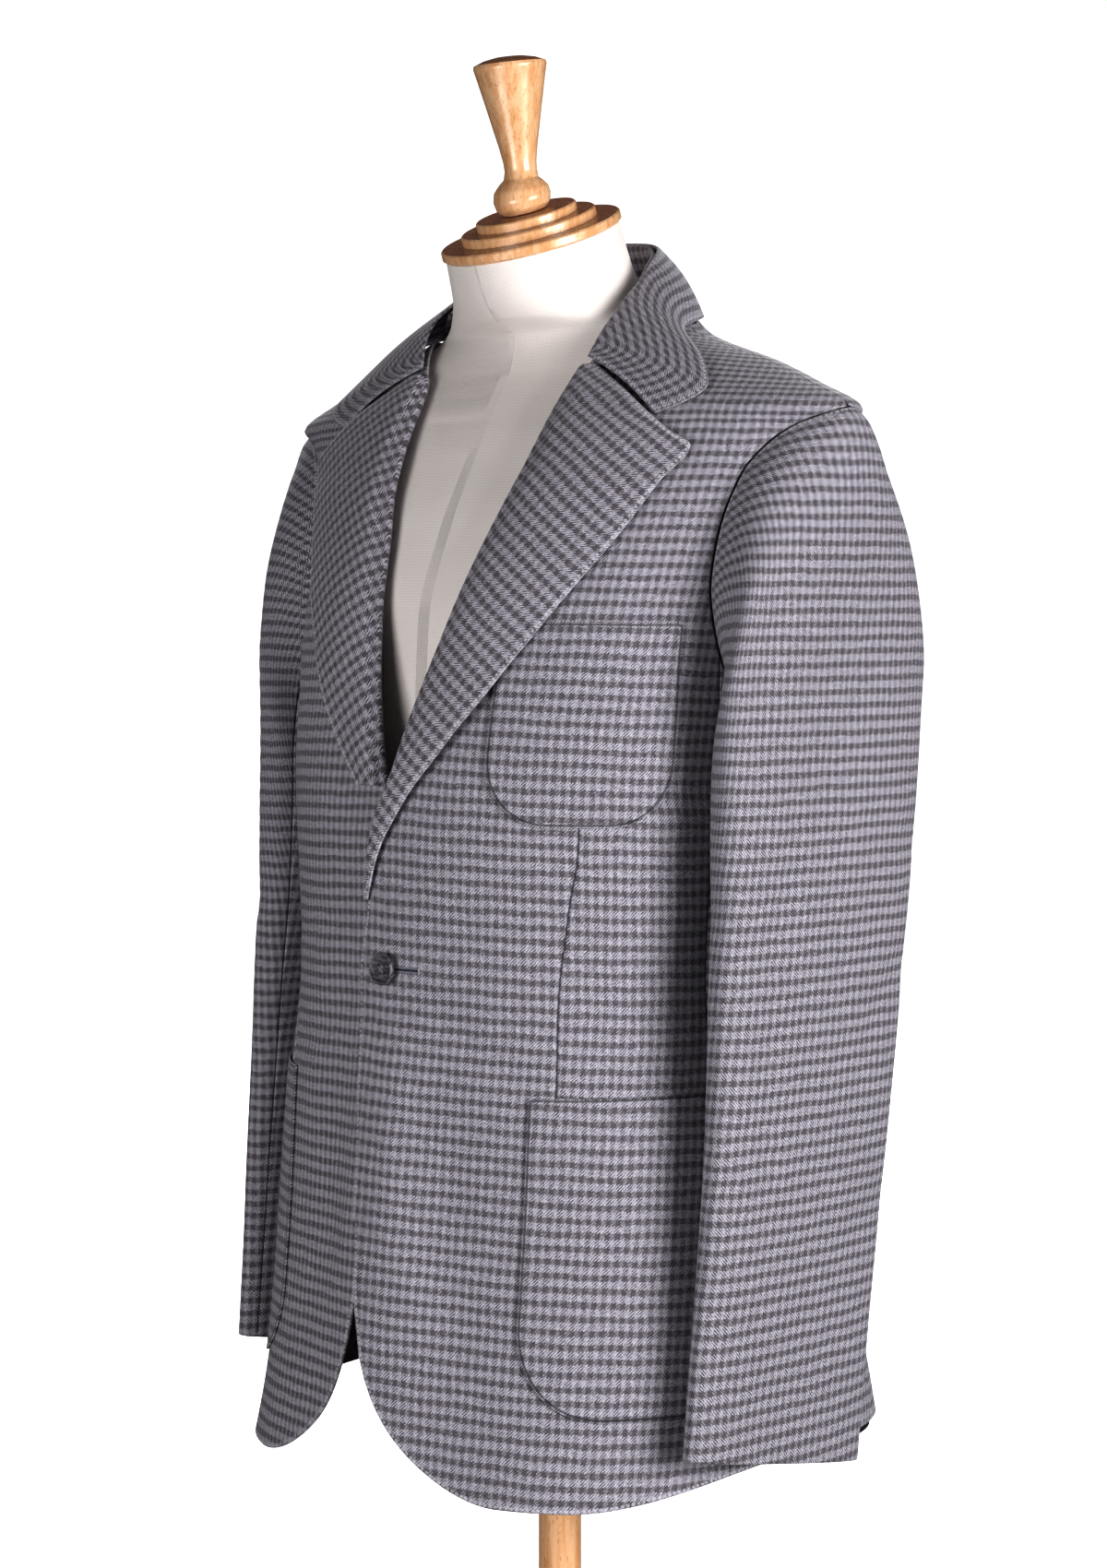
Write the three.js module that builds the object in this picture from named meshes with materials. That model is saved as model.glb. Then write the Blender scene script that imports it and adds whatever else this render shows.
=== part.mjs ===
// A single-breasted sports jacket in checked twill, on a linen-covered tailor's dress form.
// Units are millimetres. +Z is up, the jacket faces -Y, and its wearer's left is +X.
// The origin is the centre of the stand's foot, on the surface that it stands on.
import * as THREE from "three";

// Cloth
const CLOTH = 2.0; // wall of a panel: cloth, canvas and facing together
const SEAM_GAP = 0.3; // between two pieces that are sewn together
const LINING = 1.0; // wall of the lining
const LAID_GAP = 1.7; // under a piece that lies on a panel

// Heights above the surface that the stand rests on
const HEM_FRONT = 159; // lowest point of the front quarters
const HEM_SIDE = 174;
const HEM_BACK = 160;
const CUTAWAY_TOP = 320; // where the front edge starts to round away
const BUTTON_HEIGHT = 476;
const BREAK_HEIGHT = 512; // where the lapel starts to turn back
const CROSSING_HEIGHT = 574; // where the two lapels part above the closure
const ARMHOLE_BOTTOM = 620;
const ARMHOLE_TOP = 822;
const NECK_SIDE = 880; // neck seam where it meets the shoulder seam
const NECK_BACK = 898; // neck seam at the centre back

// Front edge: how far each front passes the centre at the button, and the rounded quarter below it.
// Below the button both edges drift to the wearer's right, as they hang in the photo.
const OVERLAP = 20;
const OVERLAP_LOW = 2;
const EDGE_DRIFT = 9;
const QUARTER_CENTRE = 105; // from the centre front to where the quarter has reached the hem
const QUARTER_REACH = 107;

// Seams, in degrees round the body from the centre front (0) to the centre back (180)
const SIDE_SEAM_FRONT = 75;
const SIDE_SEAM_BACK = 114;
const SHOULDER_SEAM = 90;

// Armhole, seen from the side: its centre's distance behind the body's axis, and half its width
const ARMHOLE_MIDDLE = 7;
const ARMHOLE_HALF = 61;
const RING_STEPS = 24; // steps round the armhole and the sleeve

// The outer surface of the body, one row for each level section. `half` is half the width, `mid` the
// place of the widest line behind the axis, `front` and `back` the depths from there, `prow` how far
// the centre front stands forward, and the two powers say how square each half is (2 is an ellipse).
const BODY = [
  { z: 140, half: 190, mid: 28, front: 208, back: 158, prow: 14, frontPower: 3, backPower: 2.8 },
  { z: 200, half: 187, mid: 25, front: 199, back: 148, prow: 17, frontPower: 2.7, backPower: 2.7 },
  { z: 270, half: 183, mid: 21, front: 190.5, back: 134, prow: 18, frontPower: 2.5, backPower: 2.5 },
  { z: 330, half: 179, mid: 17, front: 182.5, back: 120, prow: 16, frontPower: 2.45, backPower: 2.35 },
  { z: 395, half: 174, mid: 13, front: 176.5, back: 108, prow: 11, frontPower: 2.4, backPower: 2.35 },
  { z: 465, half: 167, mid: 6, front: 168, back: 102, prow: 5, frontPower: 2.3, backPower: 2.3 },
  { z: 547, half: 171, mid: 4, front: 168, back: 112, prow: 2, frontPower: 2.2, backPower: 2.35 },
  { z: 600, half: 175, mid: 3, front: 163, back: 120, prow: 0, frontPower: 2.25, backPower: 2.4 },
  { z: 640, half: 176, mid: 3, front: 155.5, back: 125, prow: 0, frontPower: 2.3, backPower: 2.4 },
  { z: 670, half: 176.5, mid: 2, front: 146.5, back: 127, prow: 0, frontPower: 2.4, backPower: 2.4 },
  { z: 704, half: 178, mid: 2, front: 136, back: 127, prow: 0, frontPower: 2.45, backPower: 2.4 },
  { z: 740, half: 187, mid: 1, front: 120, back: 124, prow: 0, frontPower: 2.35, backPower: 2.3 },
  { z: 771, half: 197, mid: 1, front: 107, back: 118, prow: 0, frontPower: 2.2, backPower: 2.2 },
  { z: 790, half: 206, mid: 1, front: 97.5, back: 112, prow: 0, frontPower: 2, backPower: 2.15 },
  { z: 811, half: 218, mid: 2, front: 86, back: 105, prow: 0, frontPower: 1.95, backPower: 2.05 },
  { z: 822, half: 232, mid: 3, front: 79, back: 101, prow: 0, frontPower: 1.95, backPower: 2 },
  { z: 840, half: 200, mid: 3, front: 67, back: 93, prow: 0, frontPower: 2, backPower: 2 },
  { z: 853, half: 172, mid: 3, front: 61, back: 86, prow: 0, frontPower: 2, backPower: 2 },
  { z: 877, half: 108, mid: 4, front: 55, back: 74, prow: 0, frontPower: 2, backPower: 2 },
  { z: 902, half: 86, mid: 4, front: 54, back: 60, prow: 0, frontPower: 2, backPower: 2 },
];
const PROW_WIDTH = 50;

// The fold of the lapel and its outer edge, as distances from the centre front at each height
const ROLL_LINE = [
  { z: 505, x: -15 }, { z: 535, x: -10 }, { z: 560, x: -6 }, { z: 580, x: 0 }, { z: 600, x: 8 },
  { z: 620, x: 14 }, { z: 660, x: 26 }, { z: 700, x: 36.5 }, { z: 740, x: 46 }, { z: 780, x: 57 },
  { z: 800, x: 60.5 }, { z: 840, x: 66 }, { z: 856, x: 72 }, { z: 882, x: 92 },
];
const LAPEL_EDGE = [
  { z: 505, x: -14 }, { z: 534, x: -4 }, { z: 554, x: 4.5 }, { z: 568, x: 13 }, { z: 586, x: 25 },
  { z: 606, x: 42 }, { z: 620, x: 53 }, { z: 640, x: 68 }, { z: 660, x: 81 }, { z: 700, x: 106 },
  { z: 740, x: 130 }, { z: 775, x: 148 }, { z: 797, x: 160 }, { z: 806, x: 147 }, { z: 816, x: 134 },
  { z: 830, x: 112 }, { z: 843, x: 91 }, { z: 853, x: 75 },
];
const LAPEL_TOP = 850;
const LAPEL_CLEAR = 3.9; // under the lapel, so that it clears the pocket that it covers
const ROLL_RADIUS = 2.9;

// The collar, from the gorge seam (along 0) to the centre back (along 1): its fold line, and its
// outer edge as a turn round the body and a height on it. Its front corner is at along 0.09.
const COLLAR_FOLD = [
  { along: 0, x: 72, y: -56, z: 858 }, { along: 0.15, x: 77, y: -48, z: 874 },
  { along: 0.3, x: 80, y: -35, z: 890 }, { along: 0.45, x: 78, y: -12, z: 908 },
  { along: 0.6, x: 69, y: 14, z: 926 }, { along: 0.8, x: 42, y: 46, z: 939 },
  { along: 1, x: 0, y: 58, z: 944 },
];
const COLLAR_EDGE = [
  { along: 0, turn: 36.8, z: 817.5 }, { along: 0.09, turn: 48.5, z: 833 }, { along: 0.2, turn: 55, z: 848 },
  { along: 0.32, turn: 61.5, z: 860 }, { along: 0.45, turn: 74, z: 871 }, { along: 0.6, turn: 98, z: 880 },
  { along: 0.8, turn: 138, z: 888 }, { along: 1, turn: 180, z: 890 },
];
const COLLAR_STATIONS = [0, 0.045, 0.09, 0.14, 0.2, 0.27, 0.35, 0.44, 0.54, 0.64, 0.75, 0.87, 1];
const COLLAR_LIFT = 4.6; // outer edge above the panels
const STAND_START = 0.36; // where along the collar the stand begins

// The wearer's left sleeve, one row for each section: its outer and inner points, the place of its
// middle behind the axis, half its width from front to back, its turn towards the front, how square
// it is, and how much it still follows the body's surface
const SLEEVE = [
  { outX: 232.5, outZ: 822, inX: 176, inZ: 620, mid: 7, half: 61, turn: 0, power: 2, onBody: 1 },
  { outX: 238, outZ: 814, inX: 177.5, inZ: 614, mid: 8, half: 69, turn: 1, power: 2, onBody: 0.7 },
  { outX: 240.5, outZ: 797, inX: 178.5, inZ: 607, mid: 10, half: 76, turn: 2, power: 2.05, onBody: 0.4 },
  { outX: 240, outZ: 772, inX: 179, inZ: 598, mid: 12, half: 82, turn: 3, power: 2.15, onBody: 0.2 },
  { outX: 236, outZ: 738, inX: 179.5, inZ: 587, mid: 13, half: 87, turn: 4, power: 2.3, onBody: 0.08 },
  { outX: 230, outZ: 692, inX: 179.5, inZ: 572, mid: 12, half: 90, turn: 5, power: 2.5, onBody: 0 },
  { outX: 226.5, outZ: 642, inX: 180, inZ: 552, mid: 11, half: 89.5, turn: 5, power: 2.6, onBody: 0 },
  { outX: 225.5, outZ: 592, inX: 180.5, inZ: 530, mid: 9, half: 88, turn: 5, power: 2.6, onBody: 0 },
  { outX: 225.5, outZ: 546, inX: 182, inZ: 505, mid: 5.5, half: 85, turn: 5.5, power: 2.6, onBody: 0 },
  { outX: 225.5, outZ: 500, inX: 183.5, inZ: 474, mid: 0.5, half: 82.5, turn: 6, power: 2.6, onBody: 0 },
  { outX: 225, outZ: 440, inX: 185.5, inZ: 426, mid: -5.5, half: 80, turn: 6, power: 2.6, onBody: 0 },
  { outX: 223.5, outZ: 380, inX: 187, inZ: 372, mid: -11.5, half: 77.5, turn: 6, power: 2.6, onBody: 0 },
  { outX: 220.5, outZ: 310, inX: 187.5, inZ: 308, mid: -19, half: 76, turn: 6, power: 2.6, onBody: 0 },
  { outX: 216.5, outZ: 245, inX: 187.5, inZ: 245, mid: -25.5, half: 75, turn: 6, power: 2.6, onBody: 0 },
  { outX: 214, outZ: 180, inX: 187.5, inZ: 180, mid: -32, half: 74, turn: 6, power: 2.6, onBody: 0 },
];
const CUFF_SLANT = 0.17; // how much higher the cuff is at its front, for each mm forward
const RIGHT_CUFF_RISE = 15; // how much higher the right sleeve ends, as it hangs
// The two seams of the sleeve, in degrees round its section from the outer point towards the front
const SLEEVE_SEAM_FRONT = 120;
const SLEEVE_SEAM_BACK = -75;

// Patch pockets: distance of the front edge from the centre, turn at the back edge, heights, corner
const HIP_POCKET = { x: 100, turnBack: 84, bottom: 211, top: 403, corner: 56 };
const CHEST_POCKET = { x: 72, turnBack: 64, bottom: 566, top: 690, corner: 42 };
const POCKET_WALL = 1.6;

// Button and its thread shank
const BUTTON_X = 5;
const BUTTON_RADIUS = 10;
const BUTTON_THICK = 4;
const BUTTON_RIM = 1.8;
const BUTTON_WELL = 1.2;
const SHANK_RADIUS = 1.2;
const SHANK_LENGTH = 2.6;

// Dress form: one row for each section, from its foot to the top of its neck. `tilt` leans a
// section forward, in degrees.
const FORM = [
  { z: 342, half: 132, mid: 6, front: 96, back: 88, power: 2.2, tilt: 0 },
  { z: 352, half: 143, mid: 6, front: 106, back: 97, power: 2.25, tilt: 0 },
  { z: 400, half: 150, mid: 5, front: 113, back: 102, power: 2.3, tilt: 0 },
  { z: 465, half: 146, mid: 3, front: 110, back: 94, power: 2.3, tilt: 0 },
  { z: 547, half: 155, mid: 1, front: 121, back: 102, power: 2.3, tilt: 0 },
  { z: 620, half: 163, mid: 0, front: 128, back: 110, power: 2.3, tilt: 0 },
  { z: 690, half: 166, mid: 0, front: 125, back: 113, power: 2.3, tilt: 0 },
  { z: 750, half: 178, mid: 0, front: 105, back: 108, power: 2.2, tilt: 0 },
  { z: 795, half: 191, mid: 1, front: 83, back: 98, power: 2.05, tilt: 0 },
  { z: 812, half: 209, mid: 2, front: 75, back: 94, power: 2, tilt: 0 },
  { z: 821.5, half: 219, mid: 3, front: 70, back: 91, power: 2, tilt: 0 },
  { z: 839.5, half: 193.5, mid: 2, front: 58, back: 85, power: 2, tilt: 0 },
  { z: 852.4, half: 165.5, mid: 1, front: 50, back: 79, power: 2, tilt: 0 },
  { z: 876, half: 99, mid: -2, front: 43, back: 62, power: 2, tilt: 2 },
  { z: 893, half: 73, mid: -10, front: 53, back: 59, power: 2, tilt: 8 },
  { z: 912, half: 62, mid: -18, front: 56, back: 58, power: 2, tilt: 15 },
  { z: 938, half: 58, mid: -27, front: 58, back: 58, power: 2, tilt: 21 },
];

// Turned wood on top of the neck, and the stand: radius and height pairs up the axis
const CAP_PROFILE = [
  [0, 0], [58, 0], [60, 1.5], [60, 6], [59, 7], [45, 7.4], [45, 12.5], [44, 13.4],
  [33.5, 13.8], [33.5, 18.6], [32.5, 19.5], [0, 20],
];
const FINIAL_PROFILE = [
  [0, 0], [15, 0], [18, 3.5], [19, 8.5], [18, 13.5], [14.5, 17.5], [11.5, 20], [10.6, 25], [10.8, 30],
  [12.6, 40], [17.5, 62], [22.5, 84], [24, 90], [23.4, 92], [17, 94.5], [9, 96], [0, 96.5],
];
const FINIAL_LEAN = 9; // degrees forward
const POLE_RADIUS = 14;
const PLATE_THICK = 10;
const PLATE_SCALE = 0.86;
const STAND_RADIUS = 150;
const STAND_PROFILE = [
  [0, 0], [146, 0], [149, 2], [STAND_RADIUS, 6], [STAND_RADIUS, 12], [147, 17], [140, 20], [52, 21],
  [40, 24], [30, 30], [24, 38], [0, 38],
];

// Colours
const CLOTH_GREY = 0x7c787e;
const LINING_NAVY = 0x161a24;
const LINEN = 0xd8cfc6;
const BEECH = 0xc08a55;
const HORN_GREY = 0x3c3a3d;
const THREAD_GREY = 0x6d6a72;

const radians = THREE.MathUtils.degToRad;
const degrees = THREE.MathUtils.radToDeg;

// A monotone cubic curve through the rows' (at, of) values, which never overshoots them.
function curveThrough(rows, at, of) {
  const x = rows.map((r) => r[at]);
  const y = rows.map((r) => r[of]);
  const step = x.slice(1).map((v, i) => v - x[i]);
  const rise = step.map((h, i) => (y[i + 1] - y[i]) / h);
  const slope = x.map((_, i) => {
    if (i === 0) return rise[0];
    if (i === x.length - 1) return rise[i - 1];
    if (rise[i - 1] * rise[i] <= 0) return 0;
    const a = 2 * step[i] + step[i - 1];
    const b = step[i] + 2 * step[i - 1];
    return (a + b) / (a / rise[i - 1] + b / rise[i]);
  });
  return (v) => {
    const t = Math.min(Math.max(v, x[0]), x[x.length - 1]);
    let i = 0;
    while (i < x.length - 2 && t > x[i + 1]) i += 1;
    const h = step[i];
    const s = (t - x[i]) / h;
    return (
      y[i] * (1 + 2 * s) * (1 - s) ** 2 + slope[i] * h * s * (1 - s) ** 2 +
      y[i + 1] * s * s * (3 - 2 * s) + slope[i + 1] * h * s * s * (s - 1)
    );
  };
}

// All the columns of a table as curves of one of them.
function tableCurves(rows, at) {
  const names = Object.keys(rows[0]).filter((n) => n !== at);
  const curves = Object.fromEntries(names.map((n) => [n, curveThrough(rows, at, n)]));
  return (v) => Object.fromEntries(names.map((n) => [n, curves[n](v)]));
}

const bodyAt = tableCurves(BODY, "z");
const formAt = tableCurves(FORM, "z");
const rollX = curveThrough(ROLL_LINE, "z", "x");
const lapelX = curveThrough(LAPEL_EDGE, "z", "x");
const foldAt = tableCurves(COLLAR_FOLD, "along");
const edgeAt = tableCurves(COLLAR_EDGE, "along");
const sleeveRows = SLEEVE.map((row, k) => ({ ...row, k }));
const sleeveAt = tableCurves(sleeveRows, "k");
const smoothStep = (v, low, high) => THREE.MathUtils.smoothstep(v, low, high);
const between = (a, b, t) => a + (b - a) * t;
const spread = (n) => Array.from({ length: n + 1 }, (_, i) => i / n);

// A point of the body's surface: `turn` degrees round from the centre front, at height z, moved out
// along the surface's normal. `side` is 1 for the wearer's left and -1 for the right.
function bodySkin(side, turn, z) {
  const r = bodyAt(z);
  const s = Math.sin(radians(turn));
  const c = Math.cos(radians(turn));
  const power = 2 / (c >= 0 ? r.frontPower : r.backPower);
  const x = r.half * Math.sign(s) * Math.abs(s) ** power;
  const depth = Math.sign(c) * (c >= 0 ? r.front : r.back) * Math.abs(c) ** power;
  const prow = c > 0 ? r.prow * Math.exp(-((x / PROW_WIDTH) ** 2)) : 0;
  return new THREE.Vector3(side * x, r.mid - depth - prow, z);
}
function bodyPoint(side, turn, z, out = 0) {
  const p = bodySkin(side, turn, z);
  const round = bodySkin(side, turn + 1, z).sub(bodySkin(side, turn - 1, z));
  const up = bodySkin(side, turn, z + 1).sub(bodySkin(side, turn, z - 1));
  return p.addScaledVector(round.cross(up).normalize(), out * side);
}

// The turn at which the body has a given x on its front, or a given y.
function turnAtX(x, z) {
  const r = bodyAt(z);
  const share = Math.min(Math.abs(x) / r.half, 1) ** (r.frontPower / 2);
  return Math.sign(x) * degrees(Math.asin(share));
}
function turnAtY(y, z) {
  const r = bodyAt(z);
  if (y < r.mid) return degrees(Math.acos(((r.mid - y) / r.front) ** (r.frontPower / 2)));
  return 180 - degrees(Math.acos(((y - r.mid) / r.back) ** (r.backPower / 2)));
}

// The armhole is an ellipse seen from the side: its height at an angle from the top, its turn on the
// body at a height in front (face 1) or behind (face -1), and its floor at a turn.
const ARMHOLE_RISE = (ARMHOLE_TOP - ARMHOLE_BOTTOM) / 2;
const ARMHOLE_CENTRE = (ARMHOLE_TOP + ARMHOLE_BOTTOM) / 2;
const armholeHeight = (round) => ARMHOLE_CENTRE + ARMHOLE_RISE * Math.cos(radians(round));
function armholeTurn(z, face) {
  const share = Math.sqrt(Math.max(0, 1 - ((z - ARMHOLE_CENTRE) / ARMHOLE_RISE) ** 2));
  return turnAtY(ARMHOLE_MIDDLE - face * ARMHOLE_HALF * share, z);
}
function armholeFloor(turn) {
  let z = ARMHOLE_BOTTOM;
  for (let i = 0; i < 6; i += 1) {
    const share = (bodySkin(1, turn, z).y - ARMHOLE_MIDDLE) / ARMHOLE_HALF;
    z = ARMHOLE_CENTRE - ARMHOLE_RISE * Math.sqrt(Math.max(0, 1 - share ** 2));
  }
  return z;
}

// The outlines that the panels share.
function frontEdgeX(side, z) {
  if (z >= BREAK_HEIGHT) return rollX(z);
  if (z >= BUTTON_HEIGHT) {
    return between(-OVERLAP, rollX(BREAK_HEIGHT), smoothStep(z, BUTTON_HEIGHT, BREAK_HEIGHT));
  }
  const down = 1 - smoothStep(z, CUTAWAY_TOP, BUTTON_HEIGHT);
  return between(-OVERLAP, -OVERLAP_LOW - side * EDGE_DRIFT, down);
}
function hemHeight(side, x, turn) {
  const rise = between(HEM_FRONT, HEM_SIDE, smoothStep(turn, 38, 90));
  const level = between(rise, HEM_BACK, smoothStep(turn, 115, 180));
  const across = Math.max(0, (QUARTER_CENTRE - x - side * EDGE_DRIFT) / QUARTER_REACH);
  if (turn > SIDE_SEAM_FRONT || across === 0) return level;
  return CUTAWAY_TOP - (CUTAWAY_TOP - level) * Math.sqrt(1 - Math.min(1, across) ** 2);
}

// A closed wall: at(v, u, depth) gives a point of it for each row v and column u, `depth` behind its
// outer face. `outward` is 1 where columns x rows points out, else -1.
function shell(rows, columns, at, thick, outward) {
  const faces = [0, thick].map((depth) => rows.map((v) => columns.map((u) => at(v, u, depth))));
  const height = rows.length;
  const width = columns.length;
  const index = (face, i, j) => (face * height + i) * width + j;
  const triangles = [];
  const quad = (a, b, c, d) => {
    if (outward > 0) triangles.push(a, b, c, a, c, d);
    else triangles.push(a, c, b, a, d, c);
  };
  for (let i = 0; i < height - 1; i += 1) {
    for (let j = 0; j < width - 1; j += 1) {
      quad(index(0, i, j), index(0, i, j + 1), index(0, i + 1, j + 1), index(0, i + 1, j));
      quad(index(1, i, j), index(1, i + 1, j), index(1, i + 1, j + 1), index(1, i, j + 1));
    }
  }
  const top = height - 1;
  for (let j = 0; j < width - 1; j += 1) {
    quad(index(1, 0, j), index(1, 0, j + 1), index(0, 0, j + 1), index(0, 0, j));
    quad(index(0, top, j), index(0, top, j + 1), index(1, top, j + 1), index(1, top, j));
  }
  const end = width - 1;
  for (let i = 0; i < height - 1; i += 1) {
    quad(index(0, i, 0), index(0, i + 1, 0), index(1, i + 1, 0), index(1, i, 0));
    quad(index(1, i, end), index(1, i + 1, end), index(0, i + 1, end), index(0, i, end));
  }
  return geometryOf(faces.flat(2), triangles);
}

// The same for a surface that is only known as surface(v, u): its normal is taken from near points.
const NEAR = 0.02;
function behind(surface, outward) {
  return (v, u, depth) => {
    const along = surface(v, u + NEAR).sub(surface(v, u - NEAR));
    const up = surface(v + NEAR, u).sub(surface(v - NEAR, u));
    return surface(v, u).addScaledVector(along.cross(up).normalize(), -depth * outward);
  };
}

function geometryOf(points, triangles) {
  const geometry = new THREE.BufferGeometry().setFromPoints(points);
  geometry.setIndex(triangles);
  geometry.computeVertexNormals();
  return geometry;
}

// A closed solid through a stack of rings, each a loop of equal length, with flat ends.
function stack(rings) {
  const n = rings[0].length;
  const points = rings.flat();
  const centre = (ring) => ring.reduce((s, p) => s.add(p), new THREE.Vector3()).divideScalar(n);
  points.push(centre(rings[0]), centre(rings[rings.length - 1]));
  const triangles = [];
  for (let i = 0; i < n; i += 1) {
    const next = (i + 1) % n;
    for (let k = 0; k < rings.length - 1; k += 1) {
      const a = k * n;
      const b = a + n;
      triangles.push(a + i, a + next, b + next, a + i, b + next, b + i);
    }
    const last = (rings.length - 1) * n;
    triangles.push(points.length - 2, next, i, points.length - 1, last + i, last + next);
  }
  return geometryOf(points, triangles);
}

const part = new THREE.Group();
function add(name, geometry, color, roughness = 0.9) {
  const mesh = new THREE.Mesh(geometry, new THREE.MeshStandardMaterial({ color, roughness, metalness: 0 }));
  mesh.name = name;
  part.add(mesh);
  return mesh;
}
const sideName = (side) => (side > 0 ? "left" : "right");

// How far a front is moved out: the right front lies under the left one where they overlap.
function frontOut(side, x) {
  return side > 0 ? 0 : -(CLOTH + SEAM_GAP + 1.2) * smoothStep(x, -72, -30);
}

// Rows of the panels. Below the cutaway a row is a share of the way up from the hem, and above it a
// row is a height, which at the armhole is the height of a step of the sleeve's ring.
const SKIRT_ROWS = [0, 0.22, 0.48, 0.74];
const WAIST_ROWS = [320, 360, 400, 438, 476, 512, 543, 574, 600];
const ARMHOLE_ROWS = spread(RING_STEPS / 2).map((f) => armholeHeight(180 * (1 - f)));
const SHOULDER_ROWS = [830, 841, 853, 866, 879];
const PANEL_ROWS = [...SKIRT_ROWS, ...WAIST_ROWS, ...ARMHOLE_ROWS, ...SHOULDER_ROWS];
const rowHeight = (v, hem) => (v < 1 ? between(hem, CUTAWAY_TOP, v) : v);
const SEAM_TURN = SEAM_GAP / 5; // half the gap at a seam, in degrees of turn

// Front panel: from the front edge and the fold of the lapel to the side seam, the armhole and the
// shoulder seam, with a rounded quarter at the hem.
function panelEnd(z, face, sideSeam) {
  if (z > ARMHOLE_TOP) return SHOULDER_SEAM;
  if (z < ARMHOLE_BOTTOM) return sideSeam;
  const arm = armholeTurn(z, face);
  const seam = z > ARMHOLE_CENTRE ? SHOULDER_SEAM : sideSeam;
  return face > 0 ? Math.min(arm, seam) : Math.max(arm, seam);
}
function frontPanel(side) {
  const at = (v, u, depth) => {
    const level = Math.max(v, CUTAWAY_TOP);
    const start = turnAtX(frontEdgeX(side, level) + (v > BREAK_HEIGHT ? SEAM_GAP : 0), level);
    const turn = between(start, panelEnd(level, 1, SIDE_SEAM_FRONT) - SEAM_TURN, u);
    const z = rowHeight(v, hemHeight(side, bodySkin(1, turn, HEM_SIDE).x, turn));
    return bodyPoint(side, turn, z, frontOut(side, side * bodySkin(1, turn, z).x) - depth);
  };
  const columns = spread(14).map((u) => u ** 1.15);
  add(sideName(side) + "_front", shell(PANEL_ROWS, columns, at, CLOTH, side), CLOTH_GREY);
}

// Side panel, from the hem to the bottom of the armhole.
function sidePanel(side) {
  const at = (v, u, depth) => {
    const turn = between(SIDE_SEAM_FRONT + SEAM_TURN, SIDE_SEAM_BACK - SEAM_TURN, u);
    if (v > 600) return bodyPoint(side, turn, between(600, armholeFloor(turn) - SEAM_GAP, v - 600), -depth);
    return bodyPoint(side, turn, rowHeight(v, hemHeight(side, QUARTER_CENTRE, turn)), -depth);
  };
  const rows = [...SKIRT_ROWS, ...WAIST_ROWS, 600.5, 601];
  add(sideName(side) + "_side", shell(rows, spread(6), at, CLOTH, side), CLOTH_GREY);
}

// Half back, from the side seam, the armhole and the shoulder seam to the centre seam.
function neckHeight(turn) {
  return between(NECK_SIDE, NECK_BACK, smoothStep(turn, 90, 150));
}
function backPanel(side) {
  const at = (v, u, depth) => {
    const level = Math.max(v, CUTAWAY_TOP);
    const turn = between(panelEnd(level, -1, SIDE_SEAM_BACK) + SEAM_TURN, 180 - SEAM_TURN, u);
    if (v > NECK_SIDE) return bodyPoint(side, turn, neckHeight(turn), -depth);
    return bodyPoint(side, turn, rowHeight(v, hemHeight(side, QUARTER_CENTRE, turn)), -depth);
  };
  add(sideName(side) + "_back", shell([...PANEL_ROWS, NECK_BACK], spread(8), at, CLOTH, side), CLOTH_GREY);
}

// Lining of the back, which shows through the open quarters.
function backLining() {
  const at = (z, u, depth) => {
    const turn = between(-82, 82, u);
    return bodyPoint(Math.sign(turn) || 1, 180 - Math.abs(turn), z, -CLOTH - LAID_GAP - depth);
  };
  add("back_lining", shell([168, 225, 290, 350, 410, 440], spread(18), at, LINING, -1), LINING_NAVY, 0.5);
}

// Lapel: the front's cloth rolled back over it. Its section starts behind the panel's edge, goes
// round the fold and lies on the front, highest at its soft roll. `u` up to 0 is the angle round the
// fold, in half turns, and above 0 the share of the way to the outer edge.
const LAPEL_ROWS = [
  518, 534, 554, CROSSING_HEIGHT, 592, 612, 636, 664, 694, 726, 756, 780, 797, 806, 816, 828, 840,
  LAPEL_TOP,
];
const LAPEL_COLUMNS = [-1, -0.66, -0.33, 0, 0.12, 0.28, 0.46, 0.64, 0.82, 1];
function lapel(side) {
  const at = (z, u, depth) => {
    const width = Math.max(lapelX(z) - rollX(z), 3);
    const soft = 3 * smoothStep(width, 4, 34);
    const angle = Math.PI * (0.5 + Math.max(0, -u));
    const radius = ROLL_RADIUS - depth;
    const flat = Math.max(u, 0);
    const x = rollX(z) - 0.2 + (u < 0 ? radius * Math.cos(angle) * 0.9 : 0) + flat * width;
    const rolled = LAPEL_CLEAR / 2 - CLOTH / 2 + 0.4 + radius * Math.sin(angle);
    const lying = LAPEL_CLEAR + CLOTH - depth + soft * Math.sin(Math.PI * flat ** 0.6);
    const turn = turnAtX(x, z);
    const out = u < 0 ? rolled : between(rolled, lying, smoothStep(flat, 0, 0.12));
    return bodyPoint(side, turn, z, out + frontOut(side, side * bodySkin(1, turn, z).x));
  };
  const rows = side > 0 ? LAPEL_ROWS : LAPEL_ROWS.filter((z) => z > CROSSING_HEIGHT);
  add(sideName(side) + "_lapel", shell(rows, LAPEL_COLUMNS, at, CLOTH, side), CLOTH_GREY);
}

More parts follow.
